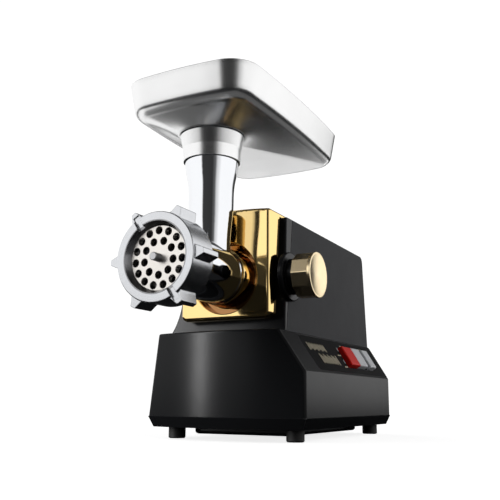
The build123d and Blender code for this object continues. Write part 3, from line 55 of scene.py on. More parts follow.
def placeCamera(settings):
    turn, tilt, roll = (math.radians(settings[key]) for key in ("turn", "tilt", "roll"))
    back = Vector((math.sin(turn) * math.cos(tilt), -math.cos(turn) * math.cos(tilt), math.sin(tilt)))
    right = (-back).cross(Vector((0, 0, 1))).normalized()
    up = right.cross(-back)
    across = right * math.cos(roll) + up * math.sin(roll)
    above = up * math.cos(roll) - right * math.sin(roll)
    lens = bpy.data.cameras.new("studioCamera")
    lens.lens = settings["lens"]
    lens.sensor_width = 36
    lens.clip_start = 0.01
    lens.clip_end = 60
    camera = bpy.data.objects.new("studioCamera", lens)
    scene.collection.objects.link(camera)
    camera.matrix_world = Matrix.Translation(settings["place"]) @ Matrix((across, above, back)).transposed().to_4x4()
    scene.camera = camera


placeCamera(cameraSettings)
scene.view_settings.view_transform = "Standard"
print("stage: camera placed")


def newGroup(name, inputs, outputs):
    group = bpy.data.node_groups.new(name, "ShaderNodeTree")
    for label, kind, value in inputs:
        group.interface.new_socket(label, in_out="INPUT", socket_type="NodeSocket" + kind).default_value = value
    for label, kind in outputs:
        group.interface.new_socket(label, in_out="OUTPUT", socket_type="NodeSocket" + kind)
    return group, group.nodes.new("NodeGroupInput"), group.nodes.new("NodeGroupOutput")


def mathNode(tree, operation, first, second=None, third=None):
    node = tree.nodes.new("ShaderNodeMath")
    node.operation = operation
    for place, value in enumerate((first, second, third)):
        if value is None:
            continue
        if isinstance(value, (int, float)):
            node.inputs[place].default_value = value
        else:
            tree.links.new(value, node.inputs[place])
    return node.outputs[0]


def vectorNode(tree, operation, first, second=None):
    node = tree.nodes.new("ShaderNodeVectorMath")
    node.operation = operation
    for place, value in enumerate((first, second)):
        if value is None:
            continue
        if isinstance(value, (tuple, list, Vector)):
            node.inputs[place].default_value = value
        else:
            tree.links.new(value, node.inputs[place])
    return node


def noiseNode(tree, vector, scale, detail=3.0, roughness=0.55, dimensions="3D"):
    node = tree.nodes.new("ShaderNodeTexNoise")
    node.noise_dimensions = dimensions
    node.inputs["Detail"].default_value = detail
    node.inputs["Roughness"].default_value = roughness
    if dimensions == "1D":
        tree.links.new(vector, node.inputs["W"])
    else:
        tree.links.new(vector, node.inputs["Vector"])
    if isinstance(scale, (int, float)):
        node.inputs["Scale"].default_value = scale
    else:
        tree.links.new(scale, node.inputs["Scale"])
    return node.outputs[0]


def makeFineGrain():
    group, entry, leave = newGroup("fineGrain", [("Scale", "Float", 1500.0)], [("Height", "Float")])
    coords = group.nodes.new("ShaderNodeTexCoord")
    fine = noiseNode(group, coords.outputs["Object"], entry.outputs["Scale"], 2.0, 0.6)
    wide = noiseNode(group, coords.outputs["Object"], mathNode(group, "MULTIPLY", entry.outputs["Scale"], 0.31), 1.0)
    group.links.new(mathNode(group, "MULTIPLY_ADD", wide, 0.5, fine), leave.inputs["Height"])
    return group


def makeCastSkin():
    group, entry, leave = newGroup("castSkin", [("Scale", "Float", 500.0)], [("Height", "Float"), ("Mask", "Float")])
    coords = group.nodes.new("ShaderNodeTexCoord")
    pits = noiseNode(group, coords.outputs["Object"], entry.outputs["Scale"], 4.0, 0.65)
    waves = noiseNode(group, coords.outputs["Object"], mathNode(group, "MULTIPLY", entry.outputs["Scale"], 0.12), 1.0)
    group.links.new(mathNode(group, "MULTIPLY_ADD", waves, 1.6, pits), leave.inputs["Height"])
    group.links.new(waves, leave.inputs["Mask"])
    return group


def makeBrushedLines():
    group, entry, leave = newGroup(
        "brushedLines", [("Stretch", "Vector", (40.0, 900.0, 900.0))], [("Height", "Float"), ("Mask", "Float")]
    )
    coords = group.nodes.new("ShaderNodeTexCoord")
    stretched = vectorNode(group, "MULTIPLY", coords.outputs["Object"], entry.outputs["Stretch"])
    lines = noiseNode(group, stretched.outputs[0], 1.0, 3.0, 0.7)
    group.links.new(lines, leave.inputs["Height"])
    group.links.new(noiseNode(group, stretched.outputs[0], 0.13, 1.0), leave.inputs["Mask"])
    return group


def makeSpunRings():
    group, entry, leave = newGroup(
        "spunRings",
        [("Centre", "Vector", (0, 0, 0)), ("Axis", "Vector", (1, 0, 0)), ("Pitch", "Float", 2500.0)],
        [("Height", "Float"), ("Mask", "Float"), ("Sectors", "Float")],
    )
    coords = group.nodes.new("ShaderNodeTexCoord")
    offset = vectorNode(group, "SUBTRACT", coords.outputs["Object"], entry.outputs["Centre"])
    flat = vectorNode(group, "CROSS_PRODUCT", offset.outputs[0], entry.outputs["Axis"])
    radius = vectorNode(group, "LENGTH", flat.outputs[0]).outputs["Value"]
    rings = noiseNode(group, radius, entry.outputs["Pitch"], 2.0, 0.7, "1D")
    split = group.nodes.new("ShaderNodeSeparateXYZ")
    group.links.new(flat.outputs[0], split.inputs[0])
    # Sectors: brightness by angle round the axis, meant as painted conic highlights
    turn = mathNode(group, "ARCTAN2", split.outputs["Y"], split.outputs["Z"])
    wave = mathNode(group, "COSINE", mathNode(group, "MULTIPLY_ADD", turn, 2.0, 0.6))
    second = mathNode(group, "COSINE", mathNode(group, "MULTIPLY_ADD", turn, 5.0, 1.9))
    sectors = mathNode(group, "MULTIPLY_ADD", second, 0.28, wave)
    group.links.new(rings, leave.inputs["Height"])
    group.links.new(noiseNode(group, radius, 260.0, 1.0, 0.5, "1D"), leave.inputs["Mask"])
    group.links.new(mathNode(group, "MULTIPLY_ADD", sectors, 0.39, 0.5), leave.inputs["Sectors"])
    return group


def makeSmudges():
    group, entry, leave = newGroup("smudges", [("Scale", "Float", 18.0)], [("Value", "Float")])
    coords = group.nodes.new("ShaderNodeTexCoord")
    broad = noiseNode(group, coords.outputs["Object"], entry.outputs["Scale"], 4.0, 0.6)
    fineScale = mathNode(group, "MULTIPLY", entry.outputs["Scale"], 6.3)
    streaks = noiseNode(group, coords.outputs["Object"], fineScale, 2.0)
    group.links.new(mathNode(group, "MULTIPLY_ADD", streaks, 0.3, mathNode(group, "MULTIPLY", broad, 0.7)),
                    leave.inputs["Value"])
    return group


def makeSoftEdge():
    group, entry, leave = newGroup(
        "softEdge", [("Radius", "Float", 0.0005)], [("Normal", "Vector"), ("Mask", "Float")]
    )
    bevel = group.nodes.new("ShaderNodeBevel")
    bevel.samples = 4
    group.links.new(entry.outputs["Radius"], bevel.inputs["Radius"])
    here = group.nodes.new("ShaderNodeNewGeometry")
    facing = vectorNode(group, "DOT_PRODUCT", bevel.outputs[0], here.outputs["Normal"]).outputs["Value"]
    # strongest along sharp edges; finishes use it to paint a highlight along their edges
    edgeHighlight = mathNode(group, "MULTIPLY", mathNode(group, "SUBTRACT", 1.0, facing), 6.0)
    group.links.new(bevel.outputs[0], leave.inputs["Normal"])
    group.links.new(mathNode(group, "MINIMUM", edgeHighlight, 1.0), leave.inputs["Mask"])
    return group


def makeFormedNormal():
    # a gentle lean and a flattening of the surface direction, for pressed sheet and cast flares
    fadeSteepness, sideSharpness = 60.0, 8.0
    group, entry, leave = newGroup(
        "formedNormal",
        [("Normal", "Vector", (0, 0, 1)), ("Upright", "Float", 1.0), ("Above", "Float", -10.0),
         ("SideLean", "Float", 0.0)],
        [("Normal", "Vector")],
    )
    coords = group.nodes.new("ShaderNodeTexCoord")
    place = group.nodes.new("ShaderNodeSeparateXYZ")
    group.links.new(coords.outputs["Object"], place.inputs[0])
    split = group.nodes.new("ShaderNodeSeparateXYZ")
    group.links.new(entry.outputs["Normal"], split.inputs[0])
    over = mathNode(group, "MULTIPLY", mathNode(group, "SUBTRACT", place.outputs["Z"], entry.outputs["Above"]), fadeSteepness)
    over = mathNode(group, "MINIMUM", mathNode(group, "MAXIMUM", over, 0.0), 1.0)
    cut = mathNode(group, "MULTIPLY", over, mathNode(group, "SUBTRACT", 1.0, entry.outputs["Upright"]))
    level = mathNode(group, "MULTIPLY", split.outputs["Z"], mathNode(group, "SUBTRACT", 1.0, cut))
    side = mathNode(group, "ABSOLUTE", split.outputs["X"])
    side = mathNode(group, "MULTIPLY", mathNode(group, "POWER", side, sideSharpness), entry.outputs["SideLean"])
    joined = group.nodes.new("ShaderNodeCombineXYZ")
    group.links.new(split.outputs["X"], joined.inputs["X"])
    group.links.new(mathNode(group, "SUBTRACT", split.outputs["Y"], side), joined.inputs["Y"])
    group.links.new(level, joined.inputs["Z"])
    group.links.new(vectorNode(group, "NORMALIZE", joined.outputs[0]).outputs[0], leave.inputs["Normal"])
    return group


def makePlaceMask():
    # one inside a ring-shaped zone along Y, nought outside it
    group, entry, leave = newGroup(
        "placeMask",
        [("Centre", "Vector", (0, 0, 0)), ("Inner", "Float", 0.0), ("Outer", "Float", 1.0), ("From", "Float", -1.0),
         ("To", "Float", 1.0)],
        [("Mask", "Float")],
    )
    coords = group.nodes.new("ShaderNodeTexCoord")
    offset = vectorNode(group, "SUBTRACT", coords.outputs["Object"], entry.outputs["Centre"]).outputs[0]
    radius = vectorNode(group, "LENGTH", vectorNode(group, "MULTIPLY", offset, (1, 0, 1)).outputs[0]).outputs["Value"]
    along = group.nodes.new("ShaderNodeSeparateXYZ")
    group.links.new(coords.outputs["Object"], along.inputs[0])
    inside = mathNode(group, "GREATER_THAN", radius, entry.outputs["Inner"])
    for check in (
        mathNode(group, "LESS_THAN", radius, entry.outputs["Outer"]),
        mathNode(group, "GREATER_THAN", along.outputs["Y"], entry.outputs["From"]),
        mathNode(group, "LESS_THAN", along.outputs["Y"], entry.outputs["To"]),
    ):
        inside = mathNode(group, "MULTIPLY", inside, check)
    group.links.new(inside, leave.inputs["Mask"])
    return group


groups = {
    "formedNormal": makeFormedNormal(),
    "placeMask": makePlaceMask(),
    "fineGrain": makeFineGrain(),
    "castSkin": makeCastSkin(),
    "brushedLines": makeBrushedLines(),
    "spunRings": makeSpunRings(),
    "smudges": makeSmudges(),
    "softEdge": makeSoftEdge(),
}
print("stage: shared surface effects ready")


def useGroup(tree, name, values=None):
    node = tree.nodes.new("ShaderNodeGroup")
    node.node_tree = groups[name]
    for label, value in (values or {}).items():
        node.inputs[label].default_value = value
    return node


def blendColors(tree, factor, first, second):
    node = tree.nodes.new("ShaderNodeMix")
    node.data_type = "RGBA"
    tree.links.new(factor, node.inputs[0])
    for place, value in ((6, first), (7, second)):
        if isinstance(value, (tuple, list)):
            node.inputs[place].default_value = (*value[:3], 1)
        else:
            tree.links.new(value, node.inputs[place])
    return node.outputs[2]


def makeFinish(name, look):
    material = bpy.data.materials.new(name)
    material.use_nodes = True
    tree = material.node_tree
    shader = tree.nodes["Principled BSDF"]
    shader.inputs["Metallic"].default_value = look.get("metal", 0.0)
    shader.inputs["Coat Weight"].default_value = look.get("coat", 0.0)
    shader.inputs["Coat Roughness"].default_value = look.get("coatRough", 0.1)
    shader.inputs["Specular IOR Level"].default_value = look.get("shine", 0.5)
    shader.inputs["Anisotropic"].default_value = look.get("aniso", 0.0)
    smudge = useGroup(tree, "smudges", {"Scale": look.get("smudge", 18.0)}).outputs["Value"]
    edge = useGroup(tree, "softEdge", {"Radius": look.get("edge", 0.0005)})
    color = blendColors(tree, smudge, look["color"], look["shade"])
    texture = useGroup(tree, look["grain"], look.get("grainValues"))
    if "Mask" in texture.outputs and look.get("stain"):
        mask = mathNode(tree, "MULTIPLY", texture.outputs["Mask"], look["stain"])
        color = blendColors(tree, mask, color, look["shade"])
    # painted conic highlights by angle; no finish here sets sectors
    if look.get("sectors"):
        color = blendColors(tree, texture.outputs["Sectors"], look["sectors"], color)
    # a zone given its own colour: painted shade in the cover's recess and in the nut's bore, and the steel-grey
    # centre of the knife and auger
    if look.get("zone"):
        zone = useGroup(tree, "placeMask", look["zone"]).outputs["Mask"]
        color = blendColors(tree, zone, color, look["zoneColor"])
    # a lighter colour along the edges: a painted highlight
    if look.get("edgeHighlight"):
        edgeHighlightMask = mathNode(tree, "MULTIPLY", edge.outputs["Mask"], look["edgeHighlightAmount"])
        color = blendColors(tree, edgeHighlightMask, color, look["edgeHighlight"])
    tree.links.new(color, shader.inputs["Base Color"])
    low, high = look["rough"]
    rough = mathNode(tree, "MULTIPLY_ADD", smudge, high - low, low)
    tree.links.new(rough, shader.inputs["Roughness"])
    bump = tree.nodes.new("ShaderNodeBump")
    bump.inputs["Strength"].default_value = look.get("bump", 0.2)
    bump.inputs["Distance"].default_value = look.get("depth", 0.00005)
    tree.links.new(texture.outputs["Height"], bump.inputs["Height"])
    surface = edge.outputs["Normal"]
    if look.get("formed"):
        formed = useGroup(tree, "formedNormal", look["formed"])
        tree.links.new(surface, formed.inputs["Normal"])
        surface = formed.outputs["Normal"]
    tree.links.new(surface, bump.inputs["Normal"])
    tree.links.new(bump.outputs[0], shader.inputs["Normal"])
    if look.get("radial"):
        tangent = tree.nodes.new("ShaderNodeTangent")
        tangent.direction_type = "RADIAL"
        tangent.axis = look["radial"]
        tree.links.new(tangent.outputs[0], shader.inputs["Tangent"])
    return material


finishLooks = {
    "black_plastic": {
        "color": (0.0090, 0.0094, 0.0104), "shade": (0.0070, 0.0074, 0.0082), "rough": (0.20, 0.26), "shine": 0.10,
        "grain": "fineGrain", "grainValues": {"Scale": 2600.0}, "bump": 0.10, "edge": 0.0009,
        # painted highlight along the edges
        "edgeHighlight": (0.10, 0.10, 0.11), "edgeHighlightAmount": 0.5,
    },
    "side_grey": {
        "color": (0.0280, 0.0288, 0.0330), "shade": (0.0250, 0.0257, 0.0297), "rough": (0.46, 0.56), "shine": 0.10,
        "grain": "fineGrain", "grainValues": {"Scale": 2200.0}, "bump": 0.16, "edge": 0.0011,
        # painted highlight along the edges
        "edgeHighlight": (0.22, 0.22, 0.23), "edgeHighlightAmount": 0.8,
    },
    "label_black": {
        "color": (0.0065, 0.0065, 0.0072), "shade": (0.005, 0.005, 0.0056), "rough": (0.46, 0.56), "shine": 0.03,
        "grain": "fineGrain", "grainValues": {"Scale": 3000.0}, "bump": 0.08, "edge": 0.0003,
    },
    "gold_plated": {
        "color": (0.96, 0.71, 0.32), "shade": (0.92, 0.65, 0.27), "metal": 1.0, "rough": (0.045, 0.085),
        "grain": "castSkin", "grainValues": {"Scale": 160.0}, "bump": 0.05, "edge": 0.0006, "smudge": 26.0,
        # the recess round the neck is coloured dark brown: painted shade
        "formed": {"SideLean": 0.32}, "zoneColor": (0.34, 0.17, 0.07),
        "zone": {"Centre": (0.0, 0.0, 0.1505), "Inner": 0.0292, "Outer": 0.0346, "From": -0.1248},
    },
    "knob_gold": {
        "color": (0.97, 0.80, 0.52), "shade": (0.93, 0.74, 0.44), "metal": 1.0, "rough": (0.16, 0.24),
        "grain": "spunRings", "grainValues": {"Pitch": 3200.0}, "bump": 0.16, "edge": 0.0005,
        "aniso": 0.75, "radial": "X",
    },
    "polished_cast": {
        "color": (0.78, 0.79, 0.81), "shade": (0.72, 0.73, 0.75), "metal": 1.0, "rough": (0.04, 0.075),
        "grain": "castSkin", "grainValues": {"Scale": 140.0}, "bump": 0.05, "edge": 0.0008,
        "formed": {"Upright": 0.12, "Above": 0.205},
    },
    "satin_cast": {
        "color": (0.66, 0.67, 0.69), "shade": (0.58, 0.59, 0.61), "metal": 1.0, "rough": (0.22, 0.30),
        "grain": "castSkin", "grainValues": {"Scale": 900.0}, "bump": 0.18, "edge": 0.0008,
        # painted highlight along the edges, and the nut's bore darker as painted shade
        "edgeHighlight": (0.92, 0.93, 0.95), "edgeHighlightAmount": 0.6, "zoneColor": (0.30, 0.30, 0.31),
        "zone": {"Centre": (0.0, 0.0, 0.1505), "Outer": 0.0312, "To": -0.2330},
    },
    "tray_sheet": {
        "color": (0.82, 0.82, 0.82), "shade": (0.75, 0.75, 0.75), "metal": 1.0, "rough": (0.22, 0.30),
        "grain": "brushedLines", "grainValues": {"Stretch": (1300.0, 60.0, 1300.0)}, "bump": 0.12,
        "edge": 0.0006, "smudge": 12.0,
    },
    "plate_steel": {
        "color": (0.90, 0.87, 0.82), "shade": (0.86, 0.82, 0.77), "metal": 1.0, "rough": (0.30, 0.40),
        "grain": "spunRings", "grainValues": {"Axis": (0.0, 1.0, 0.0), "Centre": (0.0, 0.0, 0.1505), "Pitch": 1600.0},
        "bump": 0.10, "edge": 0.0004,
    },
    # knife and auger made near-black as painted shade, so the plate's holes read dark; a steel-grey spot at the front
    # centre
    "shadeDarkenedSteel": {
        "color": (0.045, 0.044, 0.043), "shade": (0.03, 0.029, 0.028), "metal": 0.9, "rough": (0.3, 0.42),
        "zone": {"Centre": (0.0, 0.0, 0.1505), "Outer": 0.0045, "To": -0.2335}, "zoneColor": (0.62, 0.62, 0.63),
        "grain": "castSkin", "grainValues": {"Scale": 700.0}, "bump": 0.2, "edge": 0.0004,
    },
    "shaft_steel": {
        "color": (0.62, 0.62, 0.63), "shade": (0.52, 0.52, 0.53), "metal": 1.0, "rough": (0.18, 0.28),
        "grain": "brushedLines", "bump": 0.10, "edge": 0.0003,
    },
    "screw_steel": {
        "color": (0.50, 0.50, 0.49), "shade": (0.40, 0.40, 0.39), "metal": 1.0, "rough": (0.28, 0.40),
        "grain": "castSkin", "bump": 0.15, "edge": 0.0003,
    },
    "bronze": {
        "color": (0.60, 0.36, 0.15), "shade": (0.48, 0.27, 0.10), "metal": 1.0, "rough": (0.32, 0.45),
        "grain": "castSkin", "bump": 0.20, "edge": 0.0003,
    },
    "gear_nylon": {
        "color": (0.62, 0.58, 0.48), "shade": (0.54, 0.50, 0.41), "rough": (0.42, 0.55),
        "grain": "fineGrain", "bump": 0.12, "edge": 0.0003,
    },
    "lamination": {
        "color": (0.20, 0.20, 0.21), "shade": (0.14, 0.13, 0.13), "metal": 0.9, "rough": (0.42, 0.55),
        "grain": "brushedLines", "grainValues": {"Stretch": (30.0, 2000.0, 30.0)}, "bump": 0.55, "edge": 0.0003,
    },
    "copper_wire": {
        "color": (0.72, 0.27, 0.10), "shade": (0.55, 0.18, 0.06), "metal": 0.9, "rough": (0.28, 0.40),
        "grain": "brushedLines", "grainValues": {"Stretch": (1500.0, 60.0, 1500.0)}, "bump": 0.6, "edge": 0.0004,
    },
    "carbon": {
        "color": (0.02, 0.02, 0.021), "shade": (0.014, 0.014, 0.015), "rough": (0.55, 0.70),
        "grain": "castSkin", "bump": 0.2, "edge": 0.0003,
    },
    "rubber_black": {
        "color": (0.009, 0.009, 0.0095), "shade": (0.006, 0.006, 0.0065), "rough": (0.55, 0.70),
        "grain": "castSkin", "grainValues": {"Scale": 1400.0}, "bump": 0.25, "edge": 0.0006,
    },
    "red_plastic": {
        "color": (0.90, 0.022, 0.014), "shade": (0.82, 0.016, 0.010), "rough": (0.30, 0.38), "shine": 0.12,
        "grain": "fineGrain", "bump": 0.06, "edge": 0.0006,
    },
    "grey_plastic": {
        "color": (0.84, 0.86, 0.89), "shade": (0.78, 0.80, 0.83), "rough": (0.32, 0.42),
        "grain": "fineGrain", "bump": 0.06, "edge": 0.0005,
    },
    "cast_grey": {
        "color": (0.36, 0.37, 0.38), "shade": (0.28, 0.29, 0.30), "metal": 0.85, "rough": (0.46, 0.60),
        "grain": "castSkin", "grainValues": {"Scale": 700.0}, "bump": 0.5, "edge": 0.0005,
    },
}

knobLow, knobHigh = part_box("clamp_knob")
knobMiddle = (knobLow + knobHigh) / 2
finishLooks["knob_gold"]["grainValues"]["Centre"] = tuple(knobMiddle)
# the knife and auger take the near-black finish: painted shade seen through the plate's holes
ownFinish = {"auger": "shadeDarkenedSteel", "knife": "shadeDarkenedSteel"}
finishes = {name: makeFinish(name, look) for name, look in finishLooks.items()}
for part in frame["record"]["subparts"]:
    node = frame["nodes"][part["node"]]
    node.data.materials.clear()
    node.data.materials.append(finishes[ownFinish.get(part["node"], part["material_slot"])])
print("stage: finishes on", len(frame["nodes"]), "pieces")


def meshPiece(name, vertices, faces, body, slotName, finish=None, smooth=True):
    mesh = bpy.data.meshes.new(name)
    mesh.from_pydata([tuple(point) for point in vertices], [], faces)
    mesh.validate()
    shaped = bmesh.new()
    shaped.from_mesh(mesh)
    bmesh.ops.recalc_face_normals(shaped, faces=shaped.faces)
    shaped.to_mesh(mesh)
    shaped.free()
    for face in mesh.polygons:
        face.use_smooth = smooth
    mesh.materials.append(finish or finishes[slotName])
    piece = bpy.data.objects.new(name, mesh)
    scene.collection.objects.link(piece)
    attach(piece, body)
    return piece


def ringFaces(rings, count, closed=True):
    faces = []
    for ring in range(rings - 1 + (1 if closed else 0)):
        here = ring * count
        there = ((ring + 1) % rings) * count
        for step in range(count):
            after = (step + 1) % count
            faces.append((here + step, here + after, there + after, there + step))
    return faces


trayShape = {
    "half": 70.5, "front": -215.5, "back": 23.9, "bulge": 4.6, "endBow": 4.6, "corner": 29.0, "taper": 5.6,
    "floor": 294.6, "rim": 327.6, "sheet": 1.2, "bottomRound": 8.0, "throatX": 0.0, "throatY": -153.0,
    "throatRadius": 31.9, "mouth": 23.5, "throatHeight": 283.6, "sideSteps": 22, "cornerSteps": 14,
}


def arcCircle(first, middle, last):
    (ax, ay), (bx, by), (cx, cy) = first, middle, last
    d = 2 * (ax * (by - cy) + bx * (cy - ay) + cx * (ay - by))
    ux = ((ax**2 + ay**2) * (by - cy) + (bx**2 + by**2) * (cy - ay) + (cx**2 + cy**2) * (ay - by)) / d
    uy = ((ax**2 + ay**2) * (cx - bx) + (bx**2 + by**2) * (ax - cx) + (cx**2 + cy**2) * (bx - ax)) / d
    return ux, uy, math.hypot(ax - ux, ay - uy)


def trayOutline(inset):
    s = trayShape
    half, front, back = s["half"] - inset, s["front"] + inset, s["back"] - inset
    middle, corner = (front + back) / 2, s["corner"] - inset
    reach = (back - front) / 2
    ends = arcCircle((-half + s["bulge"], reach - s["endBow"]), (0, reach), (half - s["bulge"], reach - s["endBow"]))
    sides = arcCircle((half - s["bulge"], -reach + s["endBow"]), (half, 0), (half - s["bulge"], reach - s["endBow"]))
    endRound, sideRound = ends[2] - corner, sides[2] - corner
    # the corner's centre lies where the two arcs, each pulled in by the corner's radius, cross
    gapX, gapY = sides[0] - ends[0], sides[1] - ends[1]
    gap = math.hypot(gapX, gapY)
    along = (endRound**2 - sideRound**2 + gap**2) / (2 * gap)
    across = math.sqrt(max(endRound**2 - along**2, 0))
    crossings = [
        (
            ends[0] + along * gapX / gap - sign * across * gapY / gap,
            ends[1] + along * gapY / gap + sign * across * gapX / gap,
        )
        for sign in (-1, 1)
    ]
    cornerX, cornerY = max(crossings, key=lambda point: point[0] + point[1])
    endTurn = math.atan2(cornerY - ends[1], cornerX - ends[0])
    sideTurn = math.atan2(cornerY - sides[1], cornerX - sides[0])
    quarter = []
    for step in range(s["sideSteps"]):
        turn = sideTurn * step / s["sideSteps"]
        quarter.append((sides[0] + sides[2] * math.cos(turn), sides[1] + sides[2] * math.sin(turn)))
    for step in range(s["cornerSteps"]):
        turn = sideTurn + (endTurn - sideTurn) * step / s["cornerSteps"]
        quarter.append((cornerX + corner * math.cos(turn), cornerY + corner * math.sin(turn)))
    for step in range(s["sideSteps"] + 1):
        turn = endTurn + (math.pi / 2 - endTurn) * step / s["sideSteps"]
        quarter.append((ends[0] + ends[2] * math.cos(turn), ends[1] + ends[2] * math.sin(turn)))
    halfRing = quarter + [(-x, y) for x, y in reversed(quarter[:-1])]
    full = halfRing + [(x, -y) for x, y in reversed(halfRing[1:-1])]
    return [(x, y + middle) for x, y in full]


def trayRing(inset, height, blend=0.0, radius=None):
    s = trayShape
    ring = []
    for x, y in trayOutline(inset):
        turn = math.atan2(y - s["throatY"], x - s["throatX"])
        near = (s["throatX"] + (radius or 0) * math.cos(turn), s["throatY"] + (radius or 0) * math.sin(turn))
        ring.append(((x + (near[0] - x) * blend) / 1000, (y + (near[1] - y) * blend) / 1000, height / 1000))
    return ring


def makeTray():
    s = trayShape
    sheet, floor, rim, edgeRound = s["sheet"], s["floor"], s["rim"], s["bottomRound"]
    drop = floor - s["throatHeight"]
    rings = []

    def dish(radius, lift, inset, steps, outward):
        part = []
        for step in range(steps + 1):
            share = step / steps
            part.append(trayRing(inset, s["throatHeight"] + lift + drop * dishRise(share), 1 - share, radius))
        return part if outward else part[::-1]

    def dishRise(share):
        return 0.62 * share + 0.38 * math.sin(share * math.pi / 2)

    def wall(inset, low, high, steps):
        return [
            trayRing(inset + s["taper"] * (rim - z) / (rim - floor), z)
            for z in (low + (high - low) * step / steps for step in range(steps + 1))
        ]

    def turnUp(radius, inset, steps):
        part = []
        for step in range(1, steps):
            turn = math.pi / 2 * step / steps
            pull = radius * (1 - math.sin(turn))
            height = floor + (inset and sheet) + radius * (1 - math.cos(turn))
            part.append(trayRing(inset + s["taper"] * (rim - height) / (rim - floor) + pull, height))
        return part

    # outside: dish, turned-up edge, wall, then the folded lip and back down the inside
    rings += dish(s["throatRadius"], 0.0, s["taper"] + edgeRound, 16, True)
    rings += turnUp(edgeRound, 0.0, 8)
    rings += wall(0.0, floor + edgeRound, rim - 1.2, 6)
    rings.append(trayRing(0.0, rim - 0.5))
    rings.append(trayRing(0.25, rim - 0.1))
    rings.append(trayRing(0.6, rim))
    rings.append(trayRing(0.95, rim - 0.1))
    rings.append(trayRing(sheet, rim - 0.5))
    rings += wall(sheet, floor + edgeRound, rim - 1.2, 6)[::-1]
    rings += turnUp(edgeRound - sheet, sheet, 8)[::-1]
    rings += dish(s["mouth"], sheet, s["taper"] + edgeRound, 16, False)
    count = len(rings[0])
    points = [point for ring in rings for point in ring]
    tray = meshPiece("feedTraySheet", points, ringFaces(len(rings), count), "tray", "tray_sheet")
    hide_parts("feed_tray")
    return tray


makeTray()
print("stage: feed tray pressed")


panelShape = {"centre": (71.6, 0.0, 80.8), "normal": (0.85, 0.0, 0.527), "lift": 0.8, "thick": 0.10}
goldPaint = makeFinish("panelGold", {
    "color": (0.98, 0.88, 0.64), "shade": (0.92, 0.80, 0.54), "metal": 0.0, "rough": (0.34, 0.44),
    "grain": "fineGrain", "bump": 0.05, "edge": 0.0001,
})
whitePaint = makeFinish("panelWhite", {
    "color": (0.62, 0.62, 0.64), "shade": (0.55, 0.55, 0.57), "rough": (0.45, 0.55),
    "grain": "fineGrain", "bump": 0.05, "edge": 0.0001,
})


def panelPoint(along, up, lift):
    s = panelShape
    normal = Vector(s["normal"]).normalized()
    rise = normal.cross(Vector((0, 1, 0)))
    if rise.z < 0:
        rise = -rise
    place = Vector(s["centre"]) + Vector((0, 1, 0)) * along + rise * up + normal * (s["lift"] + lift)
    return place / 1000


def panelMarks(name, strips, finish):
    points, faces = [], []
    for outline in strips:
        first = len(points)
        size = len(outline)
        for lift in (0.0, panelShape["thick"]):
            points += [panelPoint(along, up, lift) for along, up in outline]
        faces.append(tuple(range(first + size, first + 2 * size)))
        faces.append(tuple(reversed(range(first, first + size))))
        for step in range(size):
            after = (step + 1) % size
            faces.append((first + step, first + after, first + size + after, first + size + step))
    return meshPiece(name, points, faces, "housing", "gold_plated", finish, False)


def bar(x0, y0, x1, y1, lean=0.0):
    return [(x0, y0), (x1, y0), (x1 + lean, y1), (x0 + lean, y1)]


# two rows of thin leaning bars of several heights, then the ticks beside the switches
upperRow = [
    bar(-84 + step * 3.3, 2.6 + (step % 3) * 1.1, -82.9 + step * 3.3, 11.2 - (step % 2) * 1.6, -1.8)
    for step in range(13)
]
lowerRow = [
    bar(-67 + step * 3.5, -11.4 + (step % 2) * 1.4, -65.8 + step * 3.5, -0.2 - (step % 3) * 1.5, -1.8)
    for step in range(13)
]
panelMarks("panelStripes", upperRow + lowerRow, goldPaint)
ticks = [bar(-7.0, 6.6, -5.4, 11.2), bar(-8.4, -8.2, -6.8, -4.0)]
panelMarks("panelTicks", ticks, whitePaint)
small = [bar(7 + step * 4.4, 13.4, 10 + step * 4.4, 14.6) for step in range(6)]
small += [bar(48.4, 13.4, 51.6, 14.6), bar(66, 13.4, 69.4, 14.6), bar(71, 13.4, 76, 14.6)]
small += [bar(-15, 0.8, -11.6, 2.0), bar(-10.6, 0.8, -7.0, 2.0)]
small += [bar(-14, -13.2, -10.6, -12.0), bar(-9.6, -13.2, -6.4, -12.0)]
panelMarks("panelDashes", small, goldPaint)
print("stage: panel marks printed")


studioSettings = {
    "floorSize": 24.0, "floorColor": (0.93, 0.93, 0.93), "floorGlow": 0.80, "floorMirror": (0.035, 0.036, 0.038),
    "backdrop": 1.06, "ceiling": 0.03, "white": 1.22,
    # brightness round the grinder: degrees from the front, growing towards the knob side
    "around": [
        (-180, 0.01), (-150, 0.03), (-134, 0.90), (-66, 1.0), (-50, 1.0), (-40, 1.0), (-17, 1.0), (-9, 0.015),
        (34, 0.010), (46, 0.08), (60, 0.70), (76, 1.0), (157, 1.0), (168, 0.05), (179.9, 0.01),
    ],
    # and up the wall: the sine of the height above the floor's line
    "upward": [(-1.0, 1.0), (0.50, 1.0), (0.66, 0.10), (1.0, 0.05)],
}


